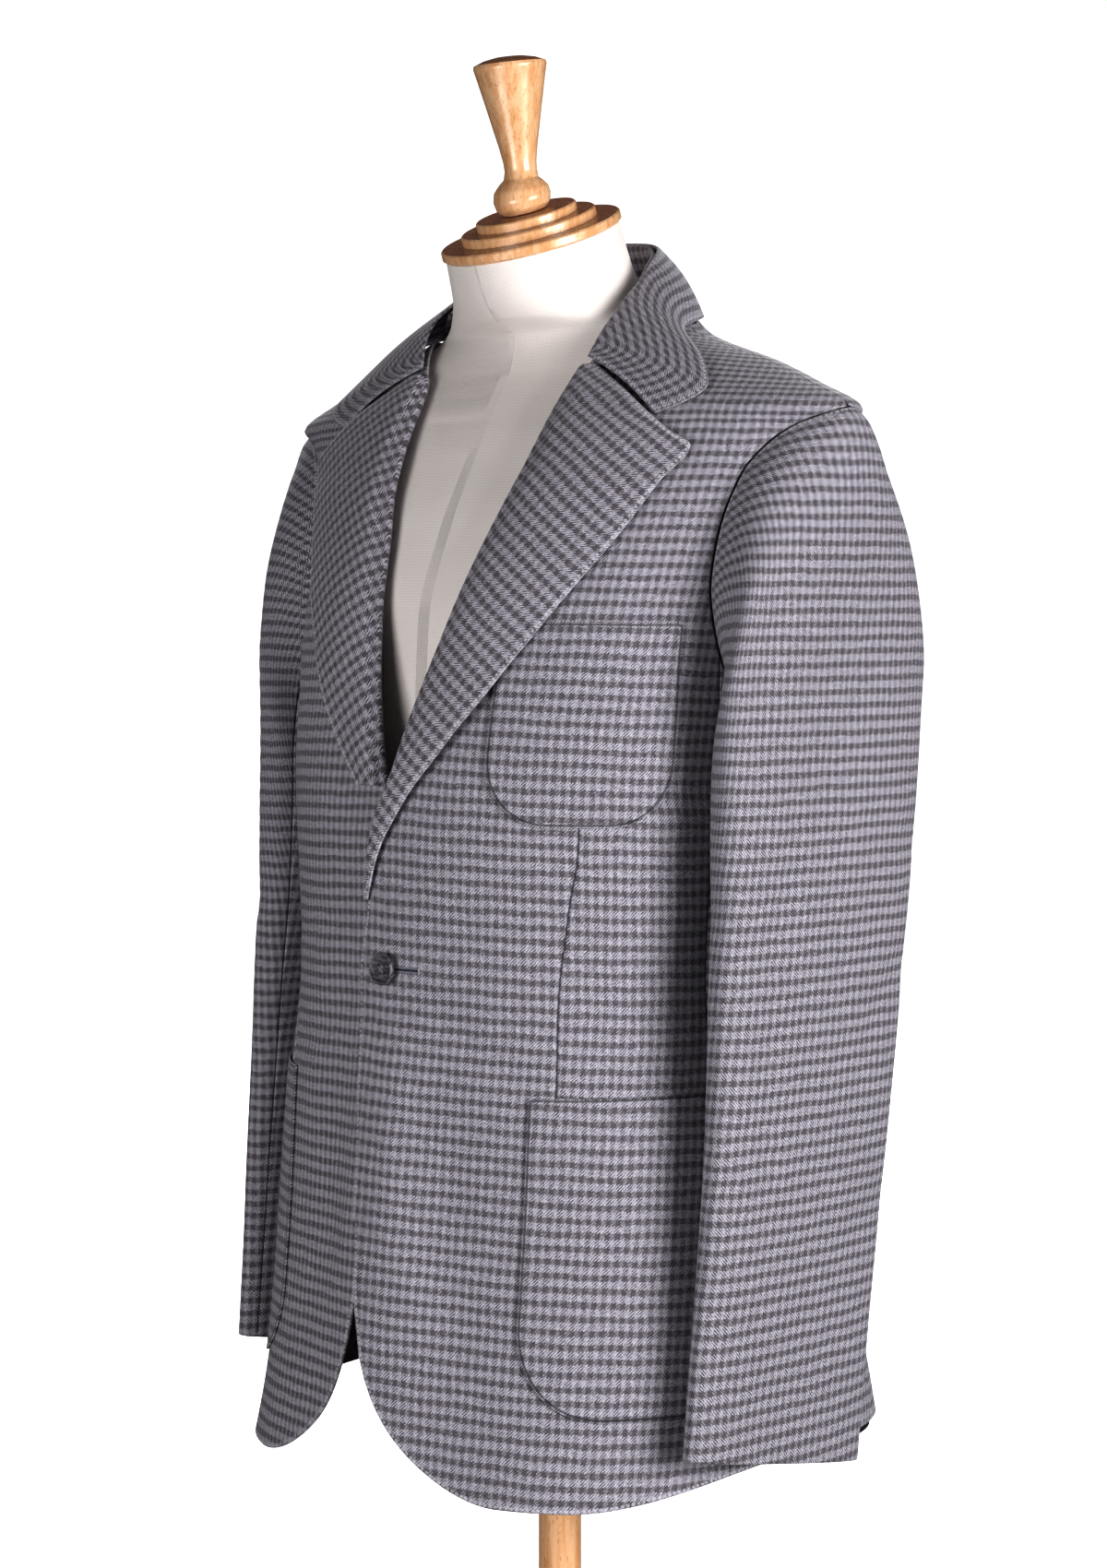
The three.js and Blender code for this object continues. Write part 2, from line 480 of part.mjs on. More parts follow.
// Fall of the collar, in one piece round the neck, and the stand inside it. `u` runs from the
// wearer's left gorge (1) over the centre back (0) to the right gorge (-1).
function collarFoldPoint(u) {
  const fold = foldAt(1 - Math.abs(u));
  return new THREE.Vector3(Math.sign(u) * fold.x, fold.y, fold.z);
}
function aroundNeck(shares) {
  return [...shares.map((a) => 1 - a), ...shares.slice(0, -1).reverse().map((a) => a - 1)];
}
function collarFall() {
  const surface = (v, u) => {
    const edge = edgeAt(1 - Math.abs(u));
    const p = bodyPoint(Math.sign(u) || 1, edge.turn, edge.z, COLLAR_LIFT).lerp(collarFoldPoint(u), v);
    const away = new THREE.Vector3(p.x, p.y + 6, 0).normalize();
    const swell = Math.sin(Math.PI * Math.min(1, Math.max(0, v)));
    return p.addScaledVector(away, 2.4 * swell).add(new THREE.Vector3(0, 0, 3.2 * swell));
  };
  const stations = aroundNeck(COLLAR_STATIONS);
  add("collar_fall", shell(spread(6), stations, behind(surface, -1), CLOTH, 1), CLOTH_GREY);
}
function collarStand() {
  const surface = (v, u) => {
    const turn = between(180, 78, Math.abs(u) / (1 - STAND_START));
    const seam = bodyPoint(Math.sign(u) || 1, turn, neckHeight(turn) + 0.6, -0.3);
    const fold = collarFoldPoint(u);
    const inward = new THREE.Vector3(-fold.x, -fold.y - 6, 0).normalize();
    return seam.lerp(fold.addScaledVector(inward, CLOTH + 1.2).setZ(fold.z - 1.8), v);
  };
  const stations = aroundNeck(spread(9).map((f) => between(STAND_START, 1, f)));
  add("collar_stand", shell(spread(2), stations, behind(surface, -1), CLOTH, 1), CLOTH_GREY);
}

// Sleeve: a two-piece tube, `round` degrees from its outer point towards the front. Its first section
// is the armhole's own outline on the body.
function sleeveSkin(side, k, round) {
  const row = sleeveAt(k);
  const c = Math.cos(radians(round));
  const s = Math.sin(radians(round));
  const power = 2 / row.power;
  const lean = radians(row.turn);
  const forward = -row.half * Math.sign(s) * Math.abs(s) ** power;
  const share = Math.sign(c) * Math.abs(c) ** power;
  const across = ((row.outX - row.inX) / 2) * share;
  const x = (row.outX + row.inX) / 2 + across * Math.cos(lean) + forward * Math.sin(lean);
  const y = row.mid + forward * Math.cos(lean) - across * Math.sin(lean);
  const z = (row.outZ + row.inZ) / 2 + ((row.outZ - row.inZ) / 2) * share;
  const seamZ = armholeHeight(round);
  const seamX = bodySkin(1, turnAtY(ARMHOLE_MIDDLE - ARMHOLE_HALF * s, seamZ), seamZ).x + 0.5;
  const plainX = (SLEEVE[0].outX + SLEEVE[0].inX) / 2 + ((SLEEVE[0].outX - SLEEVE[0].inX) / 2) * c;
  const slant = -CUFF_SLANT * (y - row.mid) * smoothStep(k, SLEEVE.length - 3, SLEEVE.length - 1);
  const rise = side < 0 ? RIGHT_CUFF_RISE * smoothStep(k, SLEEVE.length / 2, SLEEVE.length - 1) : 0;
  return new THREE.Vector3(side * (x + (seamX - plainX) * row.onBody), y, z + slant + rise);
}
function sleeve(side) {
  const surface = (k, round) => sleeveSkin(side, k, round);
  const rows = spread(SLEEVE.length - 1).map((f) => (SLEEVE.length - 1) * (1 - f));
  const step = 360 / RING_STEPS;
  const gap = SEAM_GAP * 1.2;
  const piece = (from, to) => {
    const inside = spread((to - from) / step).map((f) => between(from, to, f));
    inside[0] += gap;
    inside[inside.length - 1] -= gap;
    return shell(rows, inside, behind(surface, side), CLOTH, -side);
  };
  add(sideName(side) + "_top_sleeve", piece(SLEEVE_SEAM_BACK, SLEEVE_SEAM_FRONT), CLOTH_GREY);
  add(sideName(side) + "_under_sleeve", piece(SLEEVE_SEAM_FRONT, SLEEVE_SEAM_BACK + 360), CLOTH_GREY);
}

// Patch pocket with rounded lower corners, lying on the panels under it.
function patchPocket(name, side, size, across, up) {
  const at = (v, u, depth) => {
    const z = between(size.bottom, size.top, v);
    const fromFoot = Math.max(0, size.corner - (z - size.bottom));
    const cut = size.corner - Math.sqrt(size.corner ** 2 - fromFoot ** 2);
    const turn = between(turnAtX(size.x + cut * 0.85, z), size.turnBack - degrees(cut / 180), u);
    const under = frontOut(side, side * bodySkin(1, turn, z).x);
    return bodyPoint(side, turn, z, LAID_GAP + POCKET_WALL + under - depth);
  };
  const rows = spread(up).map((v) => v ** 1.3);
  add(name, shell(rows, spread(across), at, POCKET_WALL, side), CLOTH_GREY);
}

// Four-hole button with a raised rim and a sunk middle, and the thread shank behind it.
function button() {
  const turn = turnAtX(BUTTON_X, BUTTON_HEIGHT);
  const face = bodyPoint(1, turn, BUTTON_HEIGHT, SHANK_LENGTH);
  const well = BUTTON_THICK - BUTTON_WELL;
  const outline = [
    [0, 0], [8, 0], [BUTTON_RADIUS - 0.4, 1], [BUTTON_RADIUS, 2.2], [BUTTON_RADIUS - 0.5, 3.5],
    [BUTTON_RADIUS - 1.2, BUTTON_THICK], [BUTTON_RADIUS - BUTTON_RIM - 0.6, BUTTON_THICK - 0.1],
    [BUTTON_RADIUS - BUTTON_RIM - 1.4, well], [0, well - 0.1],
  ];
  const disc = new THREE.LatheGeometry(outline.map(([r, h]) => new THREE.Vector2(r, h)), 28);
  add("front_button", disc.rotateX(Math.PI).translate(face.x, face.y, face.z), HORN_GREY, 0.35);
  const shank = new THREE.CylinderGeometry(SHANK_RADIUS, SHANK_RADIUS, SHANK_LENGTH - 7 * SEAM_GAP, 12);
  shank.rotateX(Math.PI / 2).translate(face.x, face.y + SHANK_LENGTH / 2, face.z);
  add("button_shank", shank, THREAD_GREY);
}

// Dress form: one smooth solid, its wooden neck cap and finial, and a plain pole stand.
function formRing(row, n, scale = 1) {
  return spread(n).slice(0, -1).map((u) => {
    const a = 2 * Math.PI * u;
    const s = Math.sin(a);
    const c = Math.cos(a);
    const power = 2 / row.power;
    const x = row.half * Math.sign(s) * Math.abs(s) ** power;
    const depth = -Math.sign(c) * (c >= 0 ? row.front : row.back) * Math.abs(c) ** power;
    const tilt = radians(row.tilt);
    const y = row.mid + depth * Math.cos(tilt) * scale;
    return new THREE.Vector3(x * scale, y, row.z + depth * Math.sin(tilt) * scale);
  });
}
const FORM_LEVELS = [
  342, 346, 354, 380, 420, 465, 506, 547, 584, 620, 655, 690, 720, 750, 775, 797, 811, 821.5, 830,
  839.5, 852.4, 864, 876, 885, 893, 903, 915, 938,
];
function dressForm() {
  const rings = FORM_LEVELS.map((z) => formRing({ z, ...formAt(z) }, 30));
  add("form_torso", stack(rings), LINEN);
  const neck = FORM[FORM.length - 1];
  const lathe = (profile, n) => {
    return new THREE.LatheGeometry(profile.map(([r, h]) => new THREE.Vector2(r, h)), n);
  };
  const tilt = radians(neck.tilt);
  const up = new THREE.Vector3(0, -Math.sin(tilt), Math.cos(tilt));
  const seat = new THREE.Vector3(0, neck.mid, neck.z).addScaledVector(up, SEAM_GAP);
  const cap = add("neck_cap", lathe(CAP_PROFILE, 26), BEECH, 0.35);
  cap.position.copy(seat);
  cap.rotation.x = Math.PI / 2 + tilt;
  const capHeight = CAP_PROFILE[CAP_PROFILE.length - 1][1];
  const finial = add("neck_finial", lathe(FINIAL_PROFILE, 20), BEECH, 0.3);
  const lean = radians(FINIAL_LEAN);
  const lift = capHeight + SEAM_GAP + FINIAL_PROFILE[1][0] * Math.sin(tilt - lean);
  finial.position.copy(seat).addScaledVector(up, lift);
  finial.rotation.x = Math.PI / 2 + lean;
}
function stand() {
  const foot = FORM[0];
  const plateTop = foot.z - SEAM_GAP;
  const low = formRing({ ...foot, z: plateTop - PLATE_THICK }, 36, PLATE_SCALE - 0.03);
  const high = formRing({ ...foot, z: plateTop }, 36, PLATE_SCALE);
  add("form_plate", stack([low, high]), BEECH, 0.4);
  const base = new THREE.LatheGeometry(STAND_PROFILE.map(([r, h]) => new THREE.Vector2(r, h)), 32);
  add("stand_base", base.rotateX(Math.PI / 2), BEECH, 0.4);
  const bottom = STAND_PROFILE[STAND_PROFILE.length - 1][1] + SEAM_GAP;
  const length = plateTop - PLATE_THICK - SEAM_GAP - bottom;
  const pole = new THREE.CylinderGeometry(POLE_RADIUS, POLE_RADIUS, length, 24);
  add("stand_pole", pole.rotateX(Math.PI / 2).translate(0, 0, bottom + length / 2), BEECH, 0.4);
}

dressForm();
stand();
for (const side of [1, -1]) {
  frontPanel(side);
  sidePanel(side);
  backPanel(side);
  lapel(side);
  sleeve(side);
  patchPocket(sideName(side) + "_hip_pocket", side, HIP_POCKET, 12, 8);
}
patchPocket("left_chest_pocket", 1, CHEST_POCKET, 7, 7);
collarFall();
collarStand();
backLining();
button();

export default part;
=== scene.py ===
"""A single-breasted sports jacket in checked twill, on a linen-covered dress form with a pole stand.

The file is laid out as an add-on and is run as a script. Lengths are millimetres in the tables and
metres in Blender. +Z is up, the jacket faces -Y, and its wearer's left is +X.
"""

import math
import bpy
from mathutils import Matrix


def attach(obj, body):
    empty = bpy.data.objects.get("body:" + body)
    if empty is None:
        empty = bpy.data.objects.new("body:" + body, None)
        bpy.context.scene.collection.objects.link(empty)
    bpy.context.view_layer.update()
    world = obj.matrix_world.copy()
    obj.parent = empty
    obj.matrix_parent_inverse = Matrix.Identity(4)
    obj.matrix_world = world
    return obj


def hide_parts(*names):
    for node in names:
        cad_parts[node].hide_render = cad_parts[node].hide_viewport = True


bl_info = {
    "name": "Checked Sports Jacket",
    "version": (1, 0, 0),
    "blender": (4, 5, 0),
    "location": "3D View > Sidebar > Jacket",
    "description": "Adds a checked twill jacket on a dress form, with a plain studio round it",
    "category": "Add Mesh",
}

import bpy
import numpy as np

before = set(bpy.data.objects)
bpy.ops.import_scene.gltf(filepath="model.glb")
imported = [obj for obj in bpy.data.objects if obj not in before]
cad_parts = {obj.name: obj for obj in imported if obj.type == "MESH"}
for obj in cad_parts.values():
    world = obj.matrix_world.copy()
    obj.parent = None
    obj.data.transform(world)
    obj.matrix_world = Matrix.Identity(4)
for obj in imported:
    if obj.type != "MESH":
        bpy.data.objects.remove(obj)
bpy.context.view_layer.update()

# Sizes of the jacket, in millimetres. They are the same as the solids'.
CLOTH = 2.0
SEAM_GAP = 0.3
LINING = 1.0
LAID_GAP = 1.7
HEM_FRONT, HEM_SIDE, HEM_BACK = 159, 174, 160
CUTAWAY_TOP = 320
BUTTON_HEIGHT = 476
BREAK_HEIGHT = 512
ARMHOLE_BOTTOM, ARMHOLE_TOP = 620, 822
ARMHOLE_MIDDLE, ARMHOLE_HALF = 7, 61
NECK_SIDE, NECK_BACK = 880, 898
OVERLAP, OVERLAP_LOW, EDGE_DRIFT = 20, 2, 9
QUARTER_CENTRE, QUARTER_REACH = 105, 107
SIDE_SEAM_FRONT, SIDE_SEAM_BACK, SHOULDER_SEAM = 75, 114, 90
SEAM_TURN = SEAM_GAP / 5
PROW_WIDTH = 50

# Level sections of the body: height, half width, place of the widest line, depths before and behind
# it, how far the centre front stands forward, and how square the two halves are
BODY_COLUMNS = ("z", "half", "mid", "front", "back", "prow", "front_power", "back_power")
BODY = [
    (140, 190, 28, 208, 158, 14, 3, 2.8),
    (200, 187, 25, 199, 148, 17, 2.7, 2.7),
    (270, 183, 21, 190.5, 134, 18, 2.5, 2.5),
    (330, 179, 17, 182.5, 120, 16, 2.45, 2.35),
    (395, 174, 13, 176.5, 108, 11, 2.4, 2.35),
    (465, 167, 6, 168, 102, 5, 2.3, 2.3),
    (547, 171, 4, 168, 112, 2, 2.2, 2.35),
    (600, 175, 3, 163, 120, 0, 2.25, 2.4),
    (640, 176, 3, 155.5, 125, 0, 2.3, 2.4),
    (670, 176.5, 2, 146.5, 127, 0, 2.4, 2.4),
    (704, 178, 2, 136, 127, 0, 2.45, 2.4),
    (740, 187, 1, 120, 124, 0, 2.35, 2.3),
    (771, 197, 1, 107, 118, 0, 2.2, 2.2),
    (790, 206, 1, 97.5, 112, 0, 2, 2.15),
    (811, 218, 2, 86, 105, 0, 1.95, 2.05),
    (822, 232, 3, 79, 101, 0, 1.95, 2),
    (840, 200, 3, 67, 93, 0, 2, 2),
    (853, 172, 3, 61, 86, 0, 2, 2),
    (877, 108, 4, 55, 74, 0, 2, 2),
    (902, 86, 4, 54, 60, 0, 2, 2),
]

# The fold of the lapel and its outer edge: height, distance from the centre front
ROLL_LINE = [
    (505, -15), (535, -10), (560, -6), (580, 0), (600, 8), (620, 14), (660, 26), (700, 36.5),
    (740, 46), (780, 57), (800, 60.5), (840, 66), (856, 72), (882, 92),
]
LAPEL_EDGE = [
    (505, -14), (534, -4), (554, 4.5), (568, 13), (586, 25), (606, 42), (620, 53), (640, 68),
    (660, 81), (700, 106), (740, 130), (775, 148), (797, 160), (806, 147), (816, 134), (830, 112),
    (843, 91), (853, 75),
]
LAPEL_TOP = 850
LAPEL_CLEAR = 3.9
ROLL_RADIUS = 2.9

# The collar, from the gorge (share 0) to the centre back (share 1): share, then x, y and z of its fold,
# and share, turn and height of its outer edge
COLLAR_FOLD = [
    (0, 72, -56, 858), (0.15, 77, -48, 874), (0.3, 80, -35, 890), (0.45, 78, -12, 908),
    (0.6, 69, 14, 926), (0.8, 42, 46, 939), (1, 0, 58, 944),
]
COLLAR_EDGE = [
    (0, 36.8, 817.5), (0.09, 48.5, 833), (0.2, 55, 848), (0.32, 61.5, 860), (0.45, 74, 871),
    (0.6, 98, 880), (0.8, 138, 888), (1, 180, 890),
]
COLLAR_LIFT = 4.6
STAND_START = 0.36

# Sections of the sleeve: x and z of its outer and inner points, place of its middle, half width, turn
# towards the front, how square it is, and how much it still follows the armhole
SLEEVE_COLUMNS = ("out_x", "out_z", "in_x", "in_z", "mid", "half", "turn", "power", "on_body")
SLEEVE = [
    (232.5, 822, 176, 620, 7, 61, 0, 2, 1),
    (238, 814, 177.5, 614, 8, 69, 1, 2, 0.7),
    (240.5, 797, 178.5, 607, 10, 76, 2, 2.05, 0.4),
    (240, 772, 179, 598, 12, 82, 3, 2.15, 0.2),
    (236, 738, 179.5, 587, 13, 87, 4, 2.3, 0.08),
    (230, 692, 179.5, 572, 12, 90, 5, 2.5, 0),
    (226.5, 642, 180, 552, 11, 89.5, 5, 2.6, 0),
    (225.5, 592, 180.5, 530, 9, 88, 5, 2.6, 0),
    (225.5, 546, 182, 505, 5.5, 85, 5.5, 2.6, 0),
    (225.5, 500, 183.5, 474, 0.5, 82.5, 6, 2.6, 0),
    (225, 440, 185.5, 426, -5.5, 80, 6, 2.6, 0),
    (223.5, 380, 187, 372, -11.5, 77.5, 6, 2.6, 0),
    (220.5, 310, 187.5, 308, -19, 76, 6, 2.6, 0),
    (216.5, 245, 187.5, 245, -25.5, 75, 6, 2.6, 0),
    (214, 180, 187.5, 180, -32, 74, 6, 2.6, 0),
]
CUFF_SLANT = 0.17
RIGHT_CUFF_RISE = 15
SLEEVE_SEAM_FRONT, SLEEVE_SEAM_BACK = 120, -75

HIP_POCKET = {"x": 100, "turn_back": 84, "bottom": 211, "top": 403, "corner": 56}
CHEST_POCKET = {"x": 72, "turn_back": 64, "bottom": 566, "top": 690, "corner": 42}
POCKET_WALL = 1.6

BUTTON_X = 5
SHANK_RADIUS, SHANK_LENGTH = 1.2, 2.6
HOLE_SPREAD, HOLE_RADIUS, HOLE_DEPTH = 2.1, 0.95, 1.5
BUTTONHOLE_START, BUTTONHOLE_END, BUTTONHOLE_HALF = 4, 29, 1.25

# Sections of the dress form: height, half width, middle, depths, squareness and forward tilt
FORM_COLUMNS = ("z", "half", "mid", "front", "back", "power", "tilt")
FORM = [
    (342, 132, 6, 96, 88, 2.2, 0),
    (352, 143, 6, 106, 97, 2.25, 0),
    (400, 150, 5, 113, 102, 2.3, 0),
    (465, 146, 3, 110, 94, 2.3, 0),
    (547, 155, 1, 121, 102, 2.3, 0),
    (620, 163, 0, 128, 110, 2.3, 0),
    (690, 166, 0, 125, 113, 2.3, 0),
    (750, 178, 0, 105, 108, 2.2, 0),
    (795, 191, 1, 83, 98, 2.05, 0),
    (812, 209, 2, 75, 94, 2, 0),
    (821.5, 219, 3, 70, 91, 2, 0),
    (839.5, 193.5, 2, 58, 85, 2, 0),
    (852.4, 165.5, 1, 50, 79, 2, 0),
    (876, 99, -2, 43, 62, 2, 2),
    (893, 73, -10, 53, 59, 2, 8),
    (912, 62, -18, 56, 58, 2, 15),
    (938, 58, -27, 58, 58, 2, 21),
]

# Turned wood: radius and height up the axis
CAP_PROFILE = [
    (0, 0), (58, 0), (60, 1.5), (60, 6), (59, 7), (45, 7.4), (45, 12.5), (44, 13.4), (33.5, 13.8),
    (33.5, 18.6), (32.5, 19.5), (0, 20),
]
FINIAL_PROFILE = [
    (0, 0), (15, 0), (18, 3.5), (19, 8.5), (18, 13.5), (14.5, 17.5), (11.5, 20), (10.6, 25),
    (10.8, 30), (12.6, 40), (17.5, 62), (22.5, 84), (24, 90), (23.4, 92), (17, 94.5), (9, 96),
    (0, 96.5),
]
BASE_PROFILE = [
    (0, 0), (146, 0), (149, 2), (150, 6), (150, 12), (147, 17), (140, 20), (52, 21), (40, 24),
    (30, 30), (24, 38), (0, 38),
]
FINIAL_LEAN = 9
POLE_RADIUS = 14
PLATE_THICK, PLATE_SCALE = 10, 0.86

# Soft folds of the cloth that hangs on the body: (turn, height) points, width and depth. A negative
# depth is a ridge.
BODY_FOLDS = [
    ([(84, 640), (84, 500), (86, 360)], 36, 4),
    ([(9, 440), (13, 340), (15, 190)], 24, 2.2),
    ([(3, 430), (3, 340), (10, 250)], 12, -1.2),
    ([(8, 462), (20, 430), (34, 414)], 11, 1.1),
    ([(6, 490), (20, 500), (34, 520)], 12, 0.8),
    ([(38, 520), (46, 470), (48, 420)], 17, 1.5),
    ([(46, 300), (48, 160)], 20, 1.5),
    ([(62, 320), (64, 170)], 18, -1.6),
    ([(60, 640), (54, 700), (52, 740)], 15, 1.8),
    ([(150, 700), (146, 560), (150, 430)], 20, 2.2),
    ([(128, 640), (124, 520)], 16, 2),
    ([(170, 470), (140, 455)], 14, 2),
    ([(160, 330), (158, 165)], 22, 2.2),
]

# Soft folds of the sleeve: (row, angle round the section) points, width and depth
SLEEVE_FOLDS = [
    ([(4.85, 3), (7.35, 18), (10.1, 31), (12.25, 21)], 10, 2.4),
    ([(3.85, -22), (6, -1), (7.35, 6), (10.2, -7)], 9, 2.0),
    ([(2.4, 36), (4.5, 42), (6.6, 50)], 11, 1.8),
    ([(3.6, 62), (7, 66), (10, 62)], 11, -1.6),
    ([(8, 100), (9, 60), (9.2, 34)], 12, 1.6),
    ([(9.2, -70), (9.6, -40), (10.4, -20)], 15, 2.0),
    ([(7.4, -70), (7.9, -35)], 13, 1.8),
    ([(11.5, -60), (12.2, -20)], 14, 1.4),
]


def linear(hex_colour):
    """Linear red, green, blue and 1 from a hex colour such as the ones of a paint chart."""
    parts = [int(hex_colour[i:i + 2], 16) / 255 for i in (1, 3, 5)]
    return [c / 12.92 if c <= 0.04045 else ((c + 0.055) / 1.055) ** 2.4 for c in parts] + [1.0]


# Curves and surfaces


def curve_through(places, values):
    """A monotone cubic curve through the values, which never overshoots them."""
    x, y = np.array(places, float), np.array(values, float)
    step = np.diff(x)
    rise = np.diff(y) / step
    same = rise[:-1] * rise[1:] > 0
    low, high = np.where(same, rise[:-1], 1), np.where(same, rise[1:], 1)
    a, b = 2 * step[1:] + step[:-1], step[1:] + 2 * step[:-1]
    slope = np.concatenate([rise[:1], np.where(same, (a + b) / (a / low + b / high), 0), rise[-1:]])

    def at(v):
        t = np.clip(v, x[0], x[-1])
        i = np.clip(np.searchsorted(x, t) - 1, 0, len(x) - 2)
        h = step[i]
        s = (t - x[i]) / h
        near = y[i] * (1 + 2 * s) * (1 - s) ** 2 + slope[i] * h * s * (1 - s) ** 2
        return near + y[i + 1] * s * s * (3 - 2 * s) + slope[i + 1] * h * s * s * (s - 1)

    return at


def table_curves(rows, names):
    """One curve for each named column of a table, over its first column."""
    columns = list(zip(*rows))
    return {n: curve_through(columns[0], c) for n, c in zip(names[1:], columns[1:])}


body_at = table_curves(BODY, BODY_COLUMNS)
form_at = table_curves(FORM, FORM_COLUMNS)
sleeve_at = table_curves([(k, *row) for k, row in enumerate(SLEEVE)], ("k", *SLEEVE_COLUMNS))
fold_at = table_curves(COLLAR_FOLD, ("share", "x", "y", "z"))
edge_at = table_curves(COLLAR_EDGE, ("share", "turn", "z"))
roll_x = curve_through(*zip(*ROLL_LINE))
lapel_x = curve_through(*zip(*LAPEL_EDGE))


def smooth_step(v, low, high):
    """0 below low, 1 above high, and an S curve between them."""
    t = np.clip((np.asarray(v, float) - low) / (high - low), 0, 1)
    return t * t * (3 - 2 * t)


def unit(v):
    """Vectors brought to length 1."""
    return v / np.maximum(np.linalg.norm(v, axis=-1, keepdims=True), 1e-9)


def power_of(v, power):
    """A signed power, which makes a circle's sine or cosine into a squarer section's."""
    return np.sign(v) * np.abs(v) ** power


def body_skin(side, turn, z):
    """Outer face of the jacket's body: turn degrees from the centre front, at height z."""
    side, turn, z = np.broadcast_arrays(side, np.asarray(turn, float), np.asarray(z, float))
    r = {name: curve(z) for name, curve in body_at.items()}
    s, c = np.sin(np.radians(turn)), np.cos(np.radians(turn))
    power = 2 / np.where(c >= 0, r["front_power"], r["back_power"])
    x = r["half"] * power_of(s, power)
    depth = np.where(c >= 0, r["front"], r["back"]) * power_of(c, power)
    prow = np.where(c > 0, r["prow"] * np.exp(-((x / PROW_WIDTH) ** 2)), 0)
    return np.stack([side * x, r["mid"] - depth - prow, z], -1)


def body_point(side, turn, z, out=0):
    """The same, moved out along the surface's normal."""
    around = body_skin(side, turn + 1, z) - body_skin(side, turn - 1, z)
    up = body_skin(side, turn, z + 1) - body_skin(side, turn, z - 1)
    shift = np.asarray(out * np.asarray(side), float)
    return body_skin(side, turn, z) + unit(np.cross(around, up)) * shift[..., None]


def turn_at_x(x, z):
    """The turn where the body's front has a given x."""
    share = np.minimum(np.abs(x) / body_at["half"](z), 1) ** (body_at["front_power"](z) / 2)
    return np.sign(x) * np.degrees(np.arcsin(share))


def turn_at_y(y, z):
    """The turn where the body has a given y."""
    mid = body_at["mid"](z)
    ahead = np.clip((mid - y) / body_at["front"](z), 0, 1) ** (body_at["front_power"](z) / 2)
    behind = np.clip((y - mid) / body_at["back"](z), 0, 1) ** (body_at["back_power"](z) / 2)
    return np.where(y < mid, np.degrees(np.arccos(ahead)), 180 - np.degrees(np.arccos(behind)))


ARMHOLE_RISE = (ARMHOLE_TOP - ARMHOLE_BOTTOM) / 2
ARMHOLE_CENTRE = (ARMHOLE_TOP + ARMHOLE_BOTTOM) / 2


def armhole_turn(z, face):
    """Turn of the armhole's outline, in front (face 1) or behind (face -1)."""
    share = np.sqrt(np.maximum(0, 1 - ((z - ARMHOLE_CENTRE) / ARMHOLE_RISE) ** 2))
    return turn_at_y(ARMHOLE_MIDDLE - face * ARMHOLE_HALF * share, z)


def armhole_floor(turn):
    """Height of the armhole's lower outline at a turn."""
    z = np.full(np.shape(turn), float(ARMHOLE_BOTTOM))
    for _ in range(6):
        share = (body_skin(1, turn, z)[..., 1] - ARMHOLE_MIDDLE) / ARMHOLE_HALF
        z = ARMHOLE_CENTRE - ARMHOLE_RISE * np.sqrt(np.maximum(0, 1 - share**2))
    return z


def front_edge_x(side, z):
    """Front edge: the overlap at the button, the lapel's fold above it and the drift below it."""
    middle = smooth_step(z, BUTTON_HEIGHT, BREAK_HEIGHT)
    closing = -OVERLAP + (roll_x(BREAK_HEIGHT) + OVERLAP) * middle
    down = 1 - smooth_step(z, CUTAWAY_TOP, BUTTON_HEIGHT)
    low = -OVERLAP + (-OVERLAP_LOW - side * EDGE_DRIFT + OVERLAP) * down
    return np.where(z >= BREAK_HEIGHT, roll_x(z), np.where(z >= BUTTON_HEIGHT, closing, low))


def hem_height(side, x, turn):
    """Hem: nearly level, with the front quarter rounded up into the front edge."""
    rise = HEM_FRONT + (HEM_SIDE - HEM_FRONT) * smooth_step(turn, 38, 90)
    level = rise + (HEM_BACK - rise) * smooth_step(turn, 115, 180)
    across = np.clip((QUARTER_CENTRE - x - side * EDGE_DRIFT) / QUARTER_REACH, 0, 1)
    round_up = CUTAWAY_TOP - (CUTAWAY_TOP - level) * np.sqrt(1 - across**2)
    return np.where(turn > SIDE_SEAM_FRONT, level, round_up)


def neck_height(turn):
    """Neck seam round the back."""
    return NECK_SIDE + (NECK_BACK - NECK_SIDE) * smooth_step(turn, 90, 150)


def front_out(side, x):
    """The right front lies under the left one."""
    return 0 * x if side > 0 else -(CLOTH + SEAM_GAP + 1.2) * smooth_step(x, -72, -30)


def fold_relief(points, folds, place):
    """How far the folds push each point in: a soft trough along each fold's line, by the distance to
    the line, that fades out towards the line's two ends."""
    relief = np.zeros(points.shape[:-1])
    for path, width, depth in folds:
        first, second = np.array(path, float).T
        share = np.linspace(0, len(path) - 1, 24)
        line = place(curve_through(range(len(path)), first)(share),
                     curve_through(range(len(path)), second)(share))
        gap = np.linalg.norm(points[..., None, :] - line, axis=-1)
        nearest = gap.argmin(-1) / 23
        fade = np.sin(np.pi * np.clip(nearest * 0.9 + 0.05, 0, 1)) ** 0.8
        relief += depth * fade * np.exp(-((gap.min(-1) / width) ** 2))
    return relief


def body_relief(turn, z):
    """Folds of the body's cloth at a turn and height."""
    points = body_skin(1, turn, z)
    return fold_relief(points, BODY_FOLDS, lambda t, h: body_skin(1, t, h))


# Lengths on the cloth, round and up the body, so that the check lies on it at its real size
PLANE_TURNS = np.arange(-30.0, 181.0, 1.0)
PLANE_LEVELS = np.arange(140.0, 904.0, 2.0)


